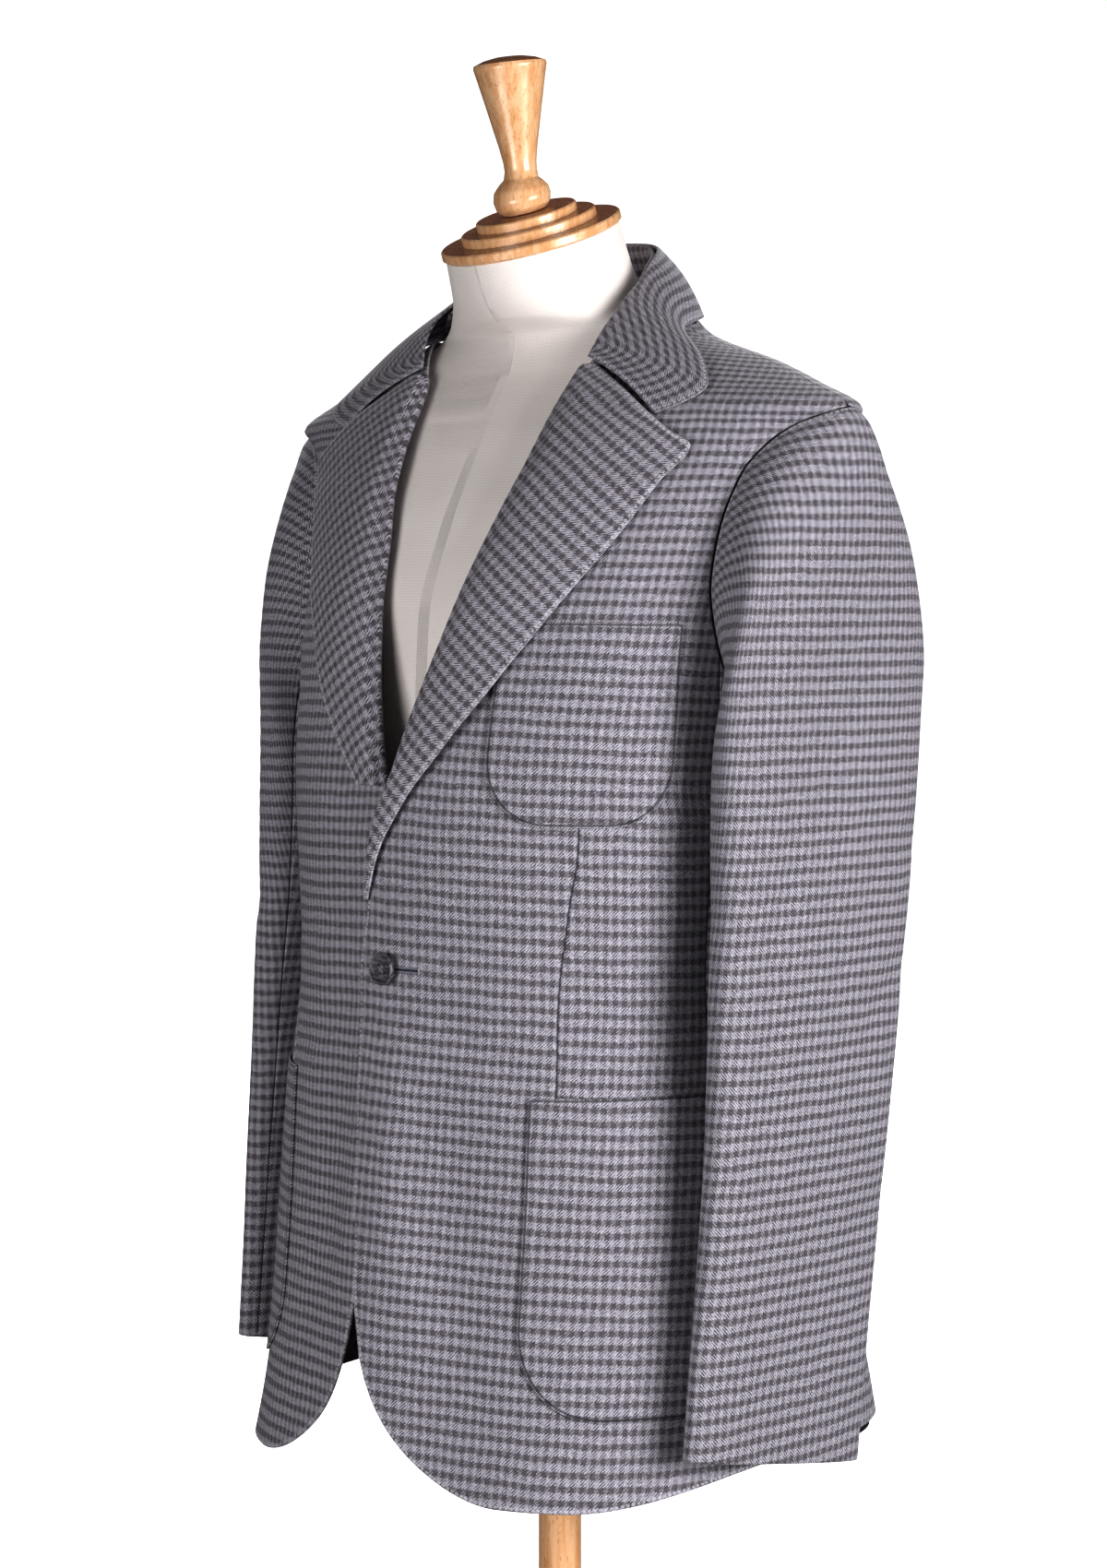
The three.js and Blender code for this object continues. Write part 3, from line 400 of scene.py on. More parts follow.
def cloth_plane_tables():
    """Length round from the centre front, and length up from the button, at each turn and height."""
    skin = body_skin(1, PLANE_TURNS[None, :], PLANE_LEVELS[:, None])
    around = np.cumsum(np.linalg.norm(np.diff(skin, axis=1), axis=-1), axis=1)
    around = np.pad(around, ((0, 0), (1, 0)))
    around -= around[:, [int(-PLANE_TURNS[0])]]
    up = np.cumsum(np.linalg.norm(np.diff(skin, axis=0), axis=-1), axis=0)
    up = np.pad(up, ((1, 0), (0, 0)))
    up -= up[[int((BUTTON_HEIGHT - PLANE_LEVELS[0]) / 2)], :]
    return around, up


AROUND, UPWARD = cloth_plane_tables()


def cloth_plane(turn, z):
    """Two lengths in millimetres on the body's cloth, round from the centre front and up."""
    turn, z = np.broadcast_arrays(turn, z)
    i = (np.clip(z, PLANE_LEVELS[0], PLANE_LEVELS[-1] - 0.01) - PLANE_LEVELS[0]) / 2
    j = np.clip(turn, PLANE_TURNS[0], 179.99) - PLANE_TURNS[0]
    i0, j0 = i.astype(int), j.astype(int)
    a, b = i - i0, j - j0
    return [
        (table[i0, j0] * (1 - b) + table[i0, j0 + 1] * b) * (1 - a)
        + (table[i0 + 1, j0] * (1 - b) + table[i0 + 1, j0 + 1] * b) * a
        for table in (AROUND, UPWARD)
    ]


# Meshes

def shares(count, fine_start=0.0, fine_end=0.0):
    """Shares from 0 to 1, with three closer ones inside each end that has a finished edge."""
    steps = np.array([0, 0.15, 0.45])
    middle = np.linspace(fine_start, 1 - fine_end, count)
    return np.concatenate([steps[: 3 * bool(fine_start)] * fine_start, middle,
                           1 - steps[::-1][3 - 3 * bool(fine_end):] * fine_end])


def grid_faces(rows, columns, start=0, closed=False):
    """Four corners of each face of a grid of points, closed round its columns or open."""
    i = np.arange(rows - 1)[:, None]
    j = np.arange(columns if closed else columns - 1)[None, :]
    k = (j + 1) % columns
    corners = [i * columns + j, i * columns + k, (i + 1) * columns + k, (i + 1) * columns + j]
    return np.stack(corners, -1).reshape(-1, 4) + start


def mesh_piece(name, points, faces, maps=(), sharp=None):
    """An object at the origin from points in millimetres, with smooth faces and named UV maps."""
    mesh = bpy.data.meshes.new(name)
    mesh.vertices.add(len(points))
    mesh.vertices.foreach_set("co", (points / 1000).astype(np.float32).ravel())
    mesh.loops.add(faces.size)
    mesh.loops.foreach_set("vertex_index", faces.astype(np.int32).ravel())
    mesh.polygons.add(len(faces))
    mesh.polygons.foreach_set("loop_start", np.arange(0, faces.size, 4, dtype=np.int32))
    mesh.update(calc_edges=True)
    for map_name, values in maps:
        layer = mesh.uv_layers.new(name=map_name)
        layer.data.foreach_set("uv", values[faces.ravel()].astype(np.float32).ravel())
    mesh.shade_smooth()
    if sharp is not None:
        mesh.set_sharp_from_angle(angle=math.radians(sharp))
    piece = bpy.data.objects.new(name, mesh)
    bpy.context.scene.collection.objects.link(piece)
    return piece


def resampled(line, step):
    """Points at even steps along a line, and their places along it."""
    length = np.concatenate([[0], np.cumsum(np.linalg.norm(np.diff(line, axis=0), axis=1))])
    place = np.linspace(0, length[-1], max(2, int(length[-1] / step)))
    return np.stack([np.interp(place, length, line[:, k]) for k in range(3)], 1), place


def edge_map(points, borders, reach=14.0):
    """For each point, how far the nearest of the border lines is and how far along it that is."""
    flat = points.reshape(-1, 3)
    best = np.full(len(flat), reach)
    along = np.zeros(len(flat))
    for border in borders:
        coarse, _ = resampled(border, 9)
        fine, place = resampled(border, 0.7)
        close = np.linalg.norm(flat[:, None] - coarse[None], axis=2).min(1) < reach + 9
        for chunk in np.array_split(np.flatnonzero(close), 1 + close.sum() * len(fine) // 3000000):
            gap = np.linalg.norm(flat[chunk, None] - fine[None], axis=2)
            k = gap.argmin(1)
            nearer = gap.min(1) < best[chunk]
            best[chunk] = np.where(nearer, gap.min(1), best[chunk])
            along[chunk] = np.where(nearer, place[k], along[chunk])
    return np.stack([best, along], 1)


def arc(points, axis):
    """Running length along the rows (axis 0) or columns (axis 1) of a grid of points."""
    steps = np.linalg.norm(np.diff(points, axis=axis), axis=-1)
    return np.concatenate([np.zeros_like(np.take(steps, [0], axis)), np.cumsum(steps, axis)], axis)


def border_lines(points, sides):
    """The named borders of a grid of points: start and end columns, bottom and top rows."""
    lines = {"start": points[:, 0], "end": points[:, -1], "bottom": points[0], "top": points[-1]}
    return [lines[name] for name in sides]


def cloth_wall(name, outer, inner, plane, finished, outward, lining_from=None, seam=0.0):
    """A closed wall of cloth from its outer and inner grids. Its edges are rounded, by drawing the two
    faces together near each border. UV maps carry the place on the cloth and the distance from the
    finished edges, both in millimetres, and how deep a point lies in a sewn seam, from 0 to 1, which
    sets the painted shade in the seam's groove."""
    rows, columns = outer.shape[:2]
    middle, half = (outer + inner) / 2, (outer - inner) / 2
    across, up = arc(outer, 1), arc(outer, 0)
    border = np.minimum(np.minimum(across, across[:, -1:] - across), np.minimum(up, up[-1:] - up))
    thick = np.linalg.norm(outer - inner, axis=-1).mean()
    near = np.clip(border / (thick * 0.7), 0, 1)
    swell = (0.2 + 0.8 * np.sqrt(1 - (1 - near) ** 2))[..., None]
    faces_of = [middle + half * swell, middle - half * swell]
    points = np.concatenate([side.reshape(-1, 3) for side in faces_of])
    n = rows * columns
    front = grid_faces(rows, columns)
    first, last = np.arange(columns), np.arange(columns) + (rows - 1) * columns
    left, right = np.arange(rows) * columns, np.arange(rows) * columns + columns - 1

    def rim(line, inward):
        """The faces that join the two sides along one border."""
        a, b = line[:-1], line[1:]
        loop = [a, a + n, b + n, b] if inward else [a, b, b + n, a + n]
        return np.stack(loop, -1)

    faces = [front, front[:, ::-1] + n, rim(first, True), rim(last, False), rim(left, False),
             rim(right, True)]
    count = len(front)
    faces = np.concatenate(faces)
    if outward < 0:
        faces = faces[:, ::-1]
    edge = edge_map(outer, border_lines(outer, finished)) if finished else np.full((n, 2), 14.0)
    cloth = np.stack(plane, -1).reshape(-1, 2)
    sewn = np.repeat(np.broadcast_to(seam, outer.shape[:2]).reshape(-1, 1), 2, axis=1)
    values = (("cloth", cloth), ("edge", edge), ("seam", sewn))
    piece = mesh_piece(name, points, faces, [(key, np.tile(value, (2, 1))) for key, value in values])
    if lining_from is not None:
        inside = (across >= lining_from).reshape(-1)[front[:, 0]]
        index = np.zeros(len(faces), np.int32)
        index[count:2 * count] = inside
        piece.data.polygons.foreach_set("material_index", index)
    area = np.linalg.norm(
        np.cross(np.diff(outer, axis=1)[:-1], np.diff(outer, axis=0)[:, :-1]), axis=-1).sum()
    piece["cut"] = [float(across.max()), float(up.max()), float(area)]
    return piece


def cut_and_sewn(piece, node, materials):
    """Gives a piece of cloth its materials, drops the size that it was cut to, and hides its node."""
    for material in materials:
        piece.data.materials.append(material)
    del piece["cut"]
    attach(piece, "root")
    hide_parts(node)


def side_name(side):
    """The wearer's side in words."""
    return "left" if side > 0 else "right"


# Panels of the body

WAIST_LEVELS = np.linspace(CUTAWAY_TOP, ARMHOLE_BOTTOM, 108)[:-1]
ARMHOLE_LEVELS = ARMHOLE_CENTRE - ARMHOLE_RISE * np.cos(np.linspace(0, np.pi, 84))
SKIRT_SHARES = np.concatenate([[0, 0.001, 0.003, 0.007], np.linspace(0.014, 1, 62)])[:-1]
PANEL_LEVELS = np.concatenate(
    [SKIRT_SHARES, WAIST_LEVELS, ARMHOLE_LEVELS, np.linspace(825, 879, 26)])


def panel_end(z, face, side_seam):
    """Where a panel ends: the side seam, the armhole or the shoulder seam."""
    arm = armhole_turn(z, face)
    seam = np.where(z > ARMHOLE_CENTRE, SHOULDER_SEAM, side_seam)
    limit = np.minimum(arm, seam) if face > 0 else np.maximum(arm, seam)
    low = np.where(z < ARMHOLE_BOTTOM, side_seam, limit)
    return np.where(z > ARMHOLE_TOP, SHOULDER_SEAM, low)


def row_height(v, hem):
    """A row's height: below 1, a share of the way up from the hem to the cutaway's top."""
    return np.where(v < 1, hem + (CUTAWAY_TOP - hem) * v, v)


# The waist dart, from the chest pocket to the hip pocket: height and distance from the centre
DART = [(160, 116), (406, 114), (453, 112.2), (509, 116.6), (562, 122.7), (700, 124)]
DART_WIDTH, DART_DEPTH = 1.3, 1.5
DART_SHIFT = (3.4, 2.4)
dart_x = curve_through(*zip(*DART))


def front_panel(side):
    """Outer and inner grids of a front and its place on the cloth, with the dart as a fine groove."""
    t = np.linspace(0, 1, 112)
    plain = t**2 * 1.05 / (t + 0.05)
    dart = 0.4 + np.array([-0.016, -0.01, -0.006, -0.003, 0, 0.003, 0.006, 0.01, 0.016])
    columns = np.sort(np.concatenate([plain[np.abs(plain - 0.4) > 0.02], dart]))
    columns = np.concatenate([columns[:-1], [0.996, 0.9985, 1]])
    v, u = PANEL_LEVELS[:, None], columns[None, :]
    level = np.maximum(v, CUTAWAY_TOP)
    start = turn_at_x(front_edge_x(side, level) + np.where(v > BREAK_HEIGHT, SEAM_GAP, 0), level)
    end = panel_end(level, 1, SIDE_SEAM_FRONT) - SEAM_TURN
    middle = np.clip(turn_at_x(dart_x(level), level), start + (end - start) * 0.22,
                     start + (end - start) * 0.62)
    turn = np.where(u < 0.4, start + (middle - start) * u / 0.4,
                    middle + (end - middle) * (u - 0.4) / 0.6)
    z = row_height(v, hem_height(side, body_skin(1, turn, HEM_SIDE)[..., 0], turn))
    out = front_out(side, side * body_skin(1, turn, z)[..., 0]) - body_relief(turn, z)
    sewn = smooth_step(z, 380, 400) * (1 - smooth_step(z, 566, 590))
    # The groove also sets how much painted shade the twill puts into the dart.
    groove = np.exp(-(((u - 0.4) * 260 / DART_WIDTH) ** 2)) * sewn
    out = out - DART_DEPTH * groove
    around, up = cloth_plane(turn, z)
    beyond = (u > 0.4) * sewn
    grids = body_point(side, turn, z, out), body_point(side, turn, z, out - CLOTH)
    plane = side * (around - DART_SHIFT[0] * beyond), up + 0.038 * around + DART_SHIFT[1] * beyond
    return grids, plane, groove


def side_panel(side):
    """Outer and inner grids of a side panel, from the hem to the bottom of the armhole."""
    turn = (SIDE_SEAM_FRONT + SEAM_TURN
            + (SIDE_SEAM_BACK - SIDE_SEAM_FRONT - 2 * SEAM_TURN) * shares(40, 0.02, 0.02))[None, :]
    v = np.concatenate([SKIRT_SHARES, WAIST_LEVELS[WAIST_LEVELS < 600]])[:, None]
    z = row_height(v, hem_height(side, QUARTER_CENTRE, turn)) + 0 * turn
    top = 600 + (armhole_floor(turn) - SEAM_GAP - 600) * shares(12, 0, 0.04)[:, None]
    z = np.concatenate([z, top])
    turn = turn + 0 * z
    out = -body_relief(turn, z)
    around, up = cloth_plane(turn, z)
    grids = body_point(side, turn, z, out), body_point(side, turn, z, out - CLOTH)
    return grids, (side * around, up + 0.038 * around)


def back_panel(side):
    """Outer and inner grids of a half back, from the side seam to the centre seam."""
    v = np.concatenate([PANEL_LEVELS, np.linspace(881, NECK_BACK, 9)])[:, None]
    level = np.maximum(v, CUTAWAY_TOP)
    start = panel_end(level, -1, SIDE_SEAM_BACK) + SEAM_TURN
    turn = start + (180 - SEAM_TURN - start) * shares(76, 0.01, 0.01)[None, :]
    low = row_height(v, hem_height(side, QUARTER_CENTRE, turn))
    neck = NECK_SIDE + (neck_height(turn) - NECK_SIDE) * (v - NECK_SIDE) / (NECK_BACK - NECK_SIDE)
    z = np.where(v > NECK_SIDE, neck, low)
    out = -body_relief(turn, z)
    around, up = cloth_plane(turn, z)
    around = cloth_plane(180 + 0 * turn, z)[0] - around
    grids = body_point(side, turn, z, out), body_point(side, turn, z, out - CLOTH)
    return grids, (-side * around, up)


def back_lining():
    """Outer and inner grids of the lining inside the back, with soft ripples across it."""
    turn = np.linspace(-82, 82, 150)[None, :]
    z = np.linspace(168, 440, 90)[:, None] + 0 * turn
    turn = turn + 0 * z
    sway = 0.5 * np.sin(turn / 5.5) + 0.4 * np.sin(turn / 3.1 + z / 60)
    lift = -CLOTH - LAID_GAP - 1 - 0.4 * sway - body_relief(180 - np.abs(turn), z)
    side = np.where(turn < 0, -1, 1)
    grids = [body_point(side, 180 - np.abs(turn), z, lift - depth) for depth in (0, LINING)]
    return grids, (arc(grids[0], 1), arc(grids[0], 0))


# Lapels, pockets and collar

LAPEL_GRAIN = 38  # degrees between the grain of the lapel and that of the front
LAPEL_SHADOW_GAP = 4.5  # how far the lower part of the left lapel stands off the front
LAPEL_SHADOW_HEIGHT, LAPEL_SHADOW_SPREAD = 632, 42  # where it stands off, and how far up and down
LAPEL_LOW, LAPEL_WIDEST = 518, 797  # heights of the left lapel's lower end and of both lapels' points
LAPEL_FLUSH, LAPEL_FLUSH_RISE = 2.1, 26  # how far its lower end is drawn in, and over what height
FAR_LAPEL_BOTTOM = 588  # where the right lapel ends, just above the left lapel
FAR_LAPEL_CLEAR = 6.5  # how far it stays from the left front's edge


def lapel(side):
    """Outer and inner grids of a lapel: from behind the front's edge, round the roll, and over the
    front to its outer edge. Above 0, u is the share of the way there, and below 0 the angle round."""
    bottom = LAPEL_LOW if side > 0 else FAR_LAPEL_BOTTOM
    low = bottom + (LAPEL_WIDEST - bottom) * shares(92, 0.004)
    high = LAPEL_WIDEST + (LAPEL_TOP - LAPEL_WIDEST) * shares(24, 0.03, 0.03)[3:]
    z = np.concatenate([low, high])[:, None]
    u = np.concatenate([np.linspace(-1, 0, 14)[:-1], shares(44, 0, 0.02)])[None, :]
    inner_x = roll_x(z) if side > 0 else np.maximum(roll_x(z), FAR_LAPEL_CLEAR - roll_x(z))
    width = np.maximum(lapel_x(z) - inner_x, 3 if side > 0 else 0.6)
    soft = 3 * smooth_step(width, 4, 34)
    angle = np.pi * (0.5 + np.maximum(0, -u))
    flat = np.maximum(u, 0)
    flush = LAPEL_FLUSH * (1 - smooth_step(z, bottom, bottom + LAPEL_FLUSH_RISE)) * (side > 0)
    from_shadow = (z - LAPEL_SHADOW_HEIGHT) / LAPEL_SHADOW_SPREAD
    stand_off = LAPEL_SHADOW_GAP * np.exp(-(from_shadow**2)) * flat**1.5 * (side > 0)

    def at(depth):
        radius = ROLL_RADIUS - depth
        x = inner_x - 0.2 + np.where(u < 0, radius * np.cos(angle) * 0.9, 0) + flat * width
        rolled = LAPEL_CLEAR / 2 - CLOTH / 2 + 0.4 + radius * np.sin(angle)
        lying = LAPEL_CLEAR + CLOTH - depth + soft * np.sin(np.pi * flat**0.6) + stand_off
        out = np.where(u < 0, rolled, rolled + (lying - rolled) * smooth_step(flat, 0, 0.12))
        turn = turn_at_x(x, z)
        out = out + front_out(side, side * body_skin(1, turn, z)[..., 0]) - flush
        return body_point(side, turn, z, out), turn

    outer, turn = at(0)
    around, up = cloth_plane(turn, z + 0 * turn)
    s, c = np.sin(np.radians(LAPEL_GRAIN)), np.cos(np.radians(LAPEL_GRAIN))
    return (outer, at(CLOTH)[0]), (side * (around * c - up * s), around * s + up * c)


def patch_pocket(side, size):
    """Outer and inner grids of a patch pocket with rounded lower corners, a little full."""
    v, u = shares(64, 0.012, 0.012)[:, None], shares(56, 0.012, 0.012)[None, :]
    z = size["bottom"] + (size["top"] - size["bottom"]) * v**1.25
    from_foot = np.maximum(0, size["corner"] - (z - size["bottom"]))
    cut = size["corner"] - np.sqrt(size["corner"] ** 2 - from_foot**2)
    start = turn_at_x(size["x"] + cut * 0.85, z)
    turn = start + (size["turn_back"] - np.degrees(cut / 180) - start) * u
    z = z + 0 * turn
    fullness = 1.4 * np.sin(np.pi * u) * np.sin(np.pi * np.clip(v * 0.85, 0, 1))
    under = front_out(side, side * body_skin(1, turn, z)[..., 0]) - body_relief(turn, z)
    around, up = cloth_plane(turn, z)
    grids = [body_point(side, turn, z, under + SEAM_GAP + POCKET_WALL + fullness - depth)
             for depth in (0, POCKET_WALL)]
    return grids, (side * around, up + 0.038 * around)


def collar_fold(u):
    """Fold line of the collar, from the left gorge (1) over the centre back (0) to the right (-1)."""
    fold = {name: curve(1 - np.abs(u)) for name, curve in fold_at.items()}
    return np.stack([np.sign(u) * fold["x"], fold["y"], fold["z"]], -1)


def fall_surface(v, u):
    """Outer face of the collar's fall, from its edge (0) to its fold (1)."""
    side = np.where(u < 0, -1.0, 1.0)
    share = 1 - np.abs(u)
    edge = body_point(side, edge_at["turn"](share), edge_at["z"](share), COLLAR_LIFT)
    p = edge + (collar_fold(u) - edge) * v[..., None]
    away = unit(p * [1, 1, 0] + [0, 6, 0])
    swell = np.sin(np.pi * np.clip(v, 0, 1))[..., None]
    return p + away * 2.4 * swell + np.array([0, 0, 3.2]) * swell


def stand_surface(v, u):
    """Outer face of the collar's stand, from the neck seam (0) to just under the fold (1)."""
    side = np.where(u < 0, -1.0, 1.0)
    turn = 180 + (78 - 180) * np.abs(u) / (1 - STAND_START)
    seam = body_point(side, turn, neck_height(turn) + 0.6, -0.3)
    fold = collar_fold(u)
    inward = unit(fold * [-1, -1, 0] - [0, 6, 0])
    top = fold + inward * (CLOTH + 1.2)
    top[..., 2] = fold[..., 2] - 1.8
    return seam + (top - seam) * v[..., None]


def behind(surface, v, u, depth, near=0.02):
    """Points of a surface moved back along its normal, which is taken from near points."""
    around = surface(v, u + near) - surface(v, u - near)
    up = surface(v + near, u) - surface(v - near, u)
    shift = np.asarray(depth, float)
    return surface(v, u) - unit(np.cross(around, up)) * shift[..., None]


def collar_piece(surface, v, u):
    """Outer and inner grids of a part of the collar."""
    v, u = np.broadcast_arrays(v[:, None], u[None, :])
    outer = behind(surface, v, u, 0 * v)
    inner = behind(surface, v, u, -CLOTH + 0 * v)
    return (outer, inner), (arc(outer, 1), arc(outer, 0))


# Sleeves

def sleeve_skin(side, k, turn):
    """Outer face of a sleeve: row k of its table, turn degrees round from its outer point."""
    row = {name: curve(k) for name, curve in sleeve_at.items()}
    c, s = np.cos(np.radians(turn)), np.sin(np.radians(turn))
    power, lean = 2 / row["power"], np.radians(row["turn"])
    forward = -row["half"] * power_of(s, power)
    share = power_of(c, power)
    across = (row["out_x"] - row["in_x"]) / 2 * share
    x = (row["out_x"] + row["in_x"]) / 2 + across * np.cos(lean) + forward * np.sin(lean)
    y = row["mid"] + forward * np.cos(lean) - across * np.sin(lean)
    z = (row["out_z"] + row["in_z"]) / 2 + (row["out_z"] - row["in_z"]) / 2 * share
    seam_z = ARMHOLE_CENTRE + ARMHOLE_RISE * c
    seam_x = body_skin(1, turn_at_y(ARMHOLE_MIDDLE - ARMHOLE_HALF * s, seam_z), seam_z)[..., 0]
    plain_x = (SLEEVE[0][0] + SLEEVE[0][2]) / 2 + (SLEEVE[0][0] - SLEEVE[0][2]) / 2 * c
    end = len(SLEEVE) - 1
    z = z - CUFF_SLANT * (y - row["mid"]) * smooth_step(k, end - 2, end)
    if side < 0:
        z = z + RIGHT_CUFF_RISE * smooth_step(k, len(SLEEVE) / 2, end)
    x = side * (x + (seam_x + 0.5 - plain_x) * row["on_body"])
    return np.stack(np.broadcast_arrays(x, y, z), -1)


def sleeve_piece(side, start, end):
    """Outer and inner grids of the top or under sleeve, with its soft folds."""
    last = len(SLEEVE) - 1
    k = last * (1 - np.concatenate([[0, 0.0006, 0.002], np.linspace(0.005, 0.997, 230), [1]]))
    turn = start + SEAM_GAP * 1.2 + (end - start - SEAM_GAP * 2.4) * shares(96, 0.012, 0.012)
    k, turn = np.broadcast_arrays(k[:, None], turn[None, :])
    skin = sleeve_skin(1, k, turn)
    relief = fold_relief(skin, SLEEVE_FOLDS, lambda row, t: sleeve_skin(1, row, t))
    relief *= smooth_step(k, 0.2, 1.6)
    grids = [behind(lambda a, b: sleeve_skin(side, a, b), k, turn, side * (relief + depth))
             for depth in (0, CLOTH)]
    middle = turn.shape[1] * (2 if start < 0 else 3) // 6
    around = arc(skin, 1)
    around = around - around[:, [middle]]
    break_row = np.abs(k[:, 0] - 6).argmin()
    along = arc(skin, 0)
    up = np.where(k >= 6, skin[..., 2], skin[[break_row], :, 2] + along - along[[break_row]])
    return grids, (side * around, up)


# Trim

def tube(points, radius, around=10):
    """Points and faces of a closed round tube along a line, with its ends drawn in."""
    line = np.asarray(points, float)
    ahead = unit(np.gradient(line, axis=0))
    side = unit(np.cross(ahead, [0.31, 0.27, 0.91]))
    other = np.cross(ahead, side)
    angle = np.linspace(0, 2 * np.pi, around, endpoint=False)
    width = np.full(len(line), float(radius))
    width[[0, -1]] = radius * 0.1
    ring = side[:, None] * np.cos(angle)[None, :, None] + other[:, None] * np.sin(angle)[None, :, None]
    rings = line[:, None] + ring * width[:, None, None]
    return rings.reshape(-1, 3), grid_faces(len(line), around, closed=True)[:, ::-1]


def joined(parts):
    """Points and faces of several parts as one."""
    starts = np.cumsum([0] + [len(points) for points, _ in parts[:-1]])
    points = np.concatenate([points for points, _ in parts])
    return points, np.concatenate([faces + start for (_, faces), start in zip(parts, starts)])


def lathe(profile, around, fine=4):
    """A solid of revolution up Z from radius and height pairs, with a few points on each stretch."""
    radius, height = np.array(profile, float).T
    place = np.concatenate([[0], np.cumsum(np.hypot(np.diff(radius), np.diff(height)))])
    at = np.unique(np.concatenate([np.linspace(a, b, fine + 1) for a, b in zip(place, place[1:])]))
    r = np.maximum(np.interp(at, place, radius), 0.02)
    h = np.interp(at, place, height)
    angle = np.linspace(0, 2 * np.pi, around, endpoint=False)
    x, y = r[:, None] * np.cos(angle), r[:, None] * np.sin(angle)
    points = np.stack([x, y, h[:, None] + 0 * x], -1)
    return points.reshape(-1, 3), grid_faces(len(at), around, closed=True)


def leaning(points, degrees, seat):
    """Points leaned forward about the X axis and moved to a seat."""
    s, c = np.sin(np.radians(degrees)), np.cos(np.radians(degrees))
    turned = np.stack([points[:, 0], points[:, 1] * c - points[:, 2] * s,
                       points[:, 1] * s + points[:, 2] * c], 1)
    return turned + seat


def button_mesh():
    """A four-hole button: a raised rim, a dished middle and four sunk holes, facing the front."""
    angle = np.linspace(0, 2 * np.pi, 120, endpoint=False)[None, :]
    rim = np.array([(0.05, 2.7), (7.0, 2.75), (7.6, 2.9), (8.1, 3.5), (8.7, 3.95), (9.1, 4), (9.5, 3.8),
                    (9.85, 3.2), (10, 2.4), (9.9, 1.4), (9.5, 0.7), (8.6, 0.15), (7.6, 0), (0.05, 0)])
    length = np.concatenate([[0], np.cumsum(np.hypot(*np.diff(rim, axis=0).T))])
    at = np.unique(np.concatenate([np.linspace(0, length[1], 44), np.linspace(length[1], length[-2], 46),
                                   length[-2:]]))
    r, h = np.interp(at, length, rim[:, 0])[:, None], np.interp(at, length, rim[:, 1])[:, None]
    x, y = r * np.cos(angle), r * np.sin(angle)
    spot = np.hypot(np.abs(x) - HOLE_SPREAD, np.abs(y) - HOLE_SPREAD)
    sunk = HOLE_DEPTH * (1 - smooth_step(spot, HOLE_RADIUS * 0.8, HOLE_RADIUS * 1.15)) * (at < 9)[:, None]
    points = np.stack([x, -(h - sunk), y], -1)
    return points.reshape(-1, 3), grid_faces(len(at), 120, closed=True)


def button_seat():
    """Middle of the button's underside."""
    turn = turn_at_x(BUTTON_X, BUTTON_HEIGHT)
    return body_point(1, turn, BUTTON_HEIGHT, SHANK_LENGTH)


def form_mesh():
    """The dress form as one closed skin, with a fine groove for the cover's centre seam."""
    levels = np.concatenate([[342, 342.01], np.linspace(342.5, 352, 12), np.linspace(356, 790, 130),
                             np.linspace(793, 938, 96), [938.01, 938.02]])
    turn = np.linspace(0, 2 * np.pi, 180, endpoint=False)[None, :]
    row = {name: curve(levels[:, None]) for name, curve in form_at.items()}
    s, c = np.sin(turn), np.cos(turn)
    power = 2 / row["power"]
    seam = np.minimum(np.abs(s), 1) * row["half"]
    groove = 0.7 * np.exp(-((seam / 1.4) ** 2)) * (levels[:, None] < 900)
    close = np.ones(len(levels))
    close[0] = close[-1] = 0.01
    close = close[:, None]
    x = row["half"] * power_of(s, power) * close
    depth = -(np.where(c >= 0, row["front"], row["back"]) * power_of(c, power)
              - groove * np.sign(c)) * close
    tilt = np.radians(row["tilt"])
    points = np.stack([x, row["mid"] + depth * np.cos(tilt), levels[:, None] + depth * np.sin(tilt)], -1)
    maps = np.stack([arc(points, 1), levels[:, None] + 0 * x], -1).reshape(-1, 2)
    return points.reshape(-1, 3), grid_faces(len(levels), 180, closed=True), maps


# Materials

def node(tree, kind, inputs=None, **settings):
    """One node with its settings, and its inputs given as values or linked from other sockets."""
    made = tree.nodes.new(kind)
    for name, value in settings.items():
        setattr(made, name, value)
    for name, value in (inputs or {}).items():
        if isinstance(value, bpy.types.NodeSocket):
            tree.links.new(value, made.inputs[name])
        else:
            made.inputs[name].default_value = value
    return made


def calc(tree, operation, a, b=0.0, clamp=False):
    """A sum on one or two numbers."""
    return node(tree, "ShaderNodeMath", {0: a, 1: b}, operation=operation, use_clamp=clamp).outputs[0]


def band(tree, value, low, high, to_low=0.0, to_high=1.0):
    """A soft change between two numbers as value goes from low to high."""
    inputs = {"Value": value, "From Min": low, "From Max": high, "To Min": to_low, "To Max": to_high}
    return node(tree, "ShaderNodeMapRange", inputs, interpolation_type="SMOOTHSTEP").outputs[0]


def speckle(tree, vector, scale, detail=2.0):
    """Soft noise between 0 and 1."""
    inputs = {"Vector": vector, "Scale": scale, "Detail": detail}
    return node(tree, "ShaderNodeTexNoise", inputs).outputs[0]


def blend(tree, share, first, second):
    """A colour between two colours."""
    return node(tree, "ShaderNodeMix", {0: share, 6: first, 7: second}, data_type="RGBA").outputs[2]


def scaled(tree, colour, amount):
    """A colour made lighter or darker."""
    return node(tree, "ShaderNodeVectorMath", {0: colour, "Scale": amount}, operation="SCALE").outputs[0]


def map_axes(tree, name):
    """The two lengths of a UV map and its vector, in millimetres."""
    vector = node(tree, "ShaderNodeUVMap", uv_map=name).outputs[0]
    split = node(tree, "ShaderNodeSeparateXYZ", {0: vector})
    return split.outputs[0], split.outputs[1], vector


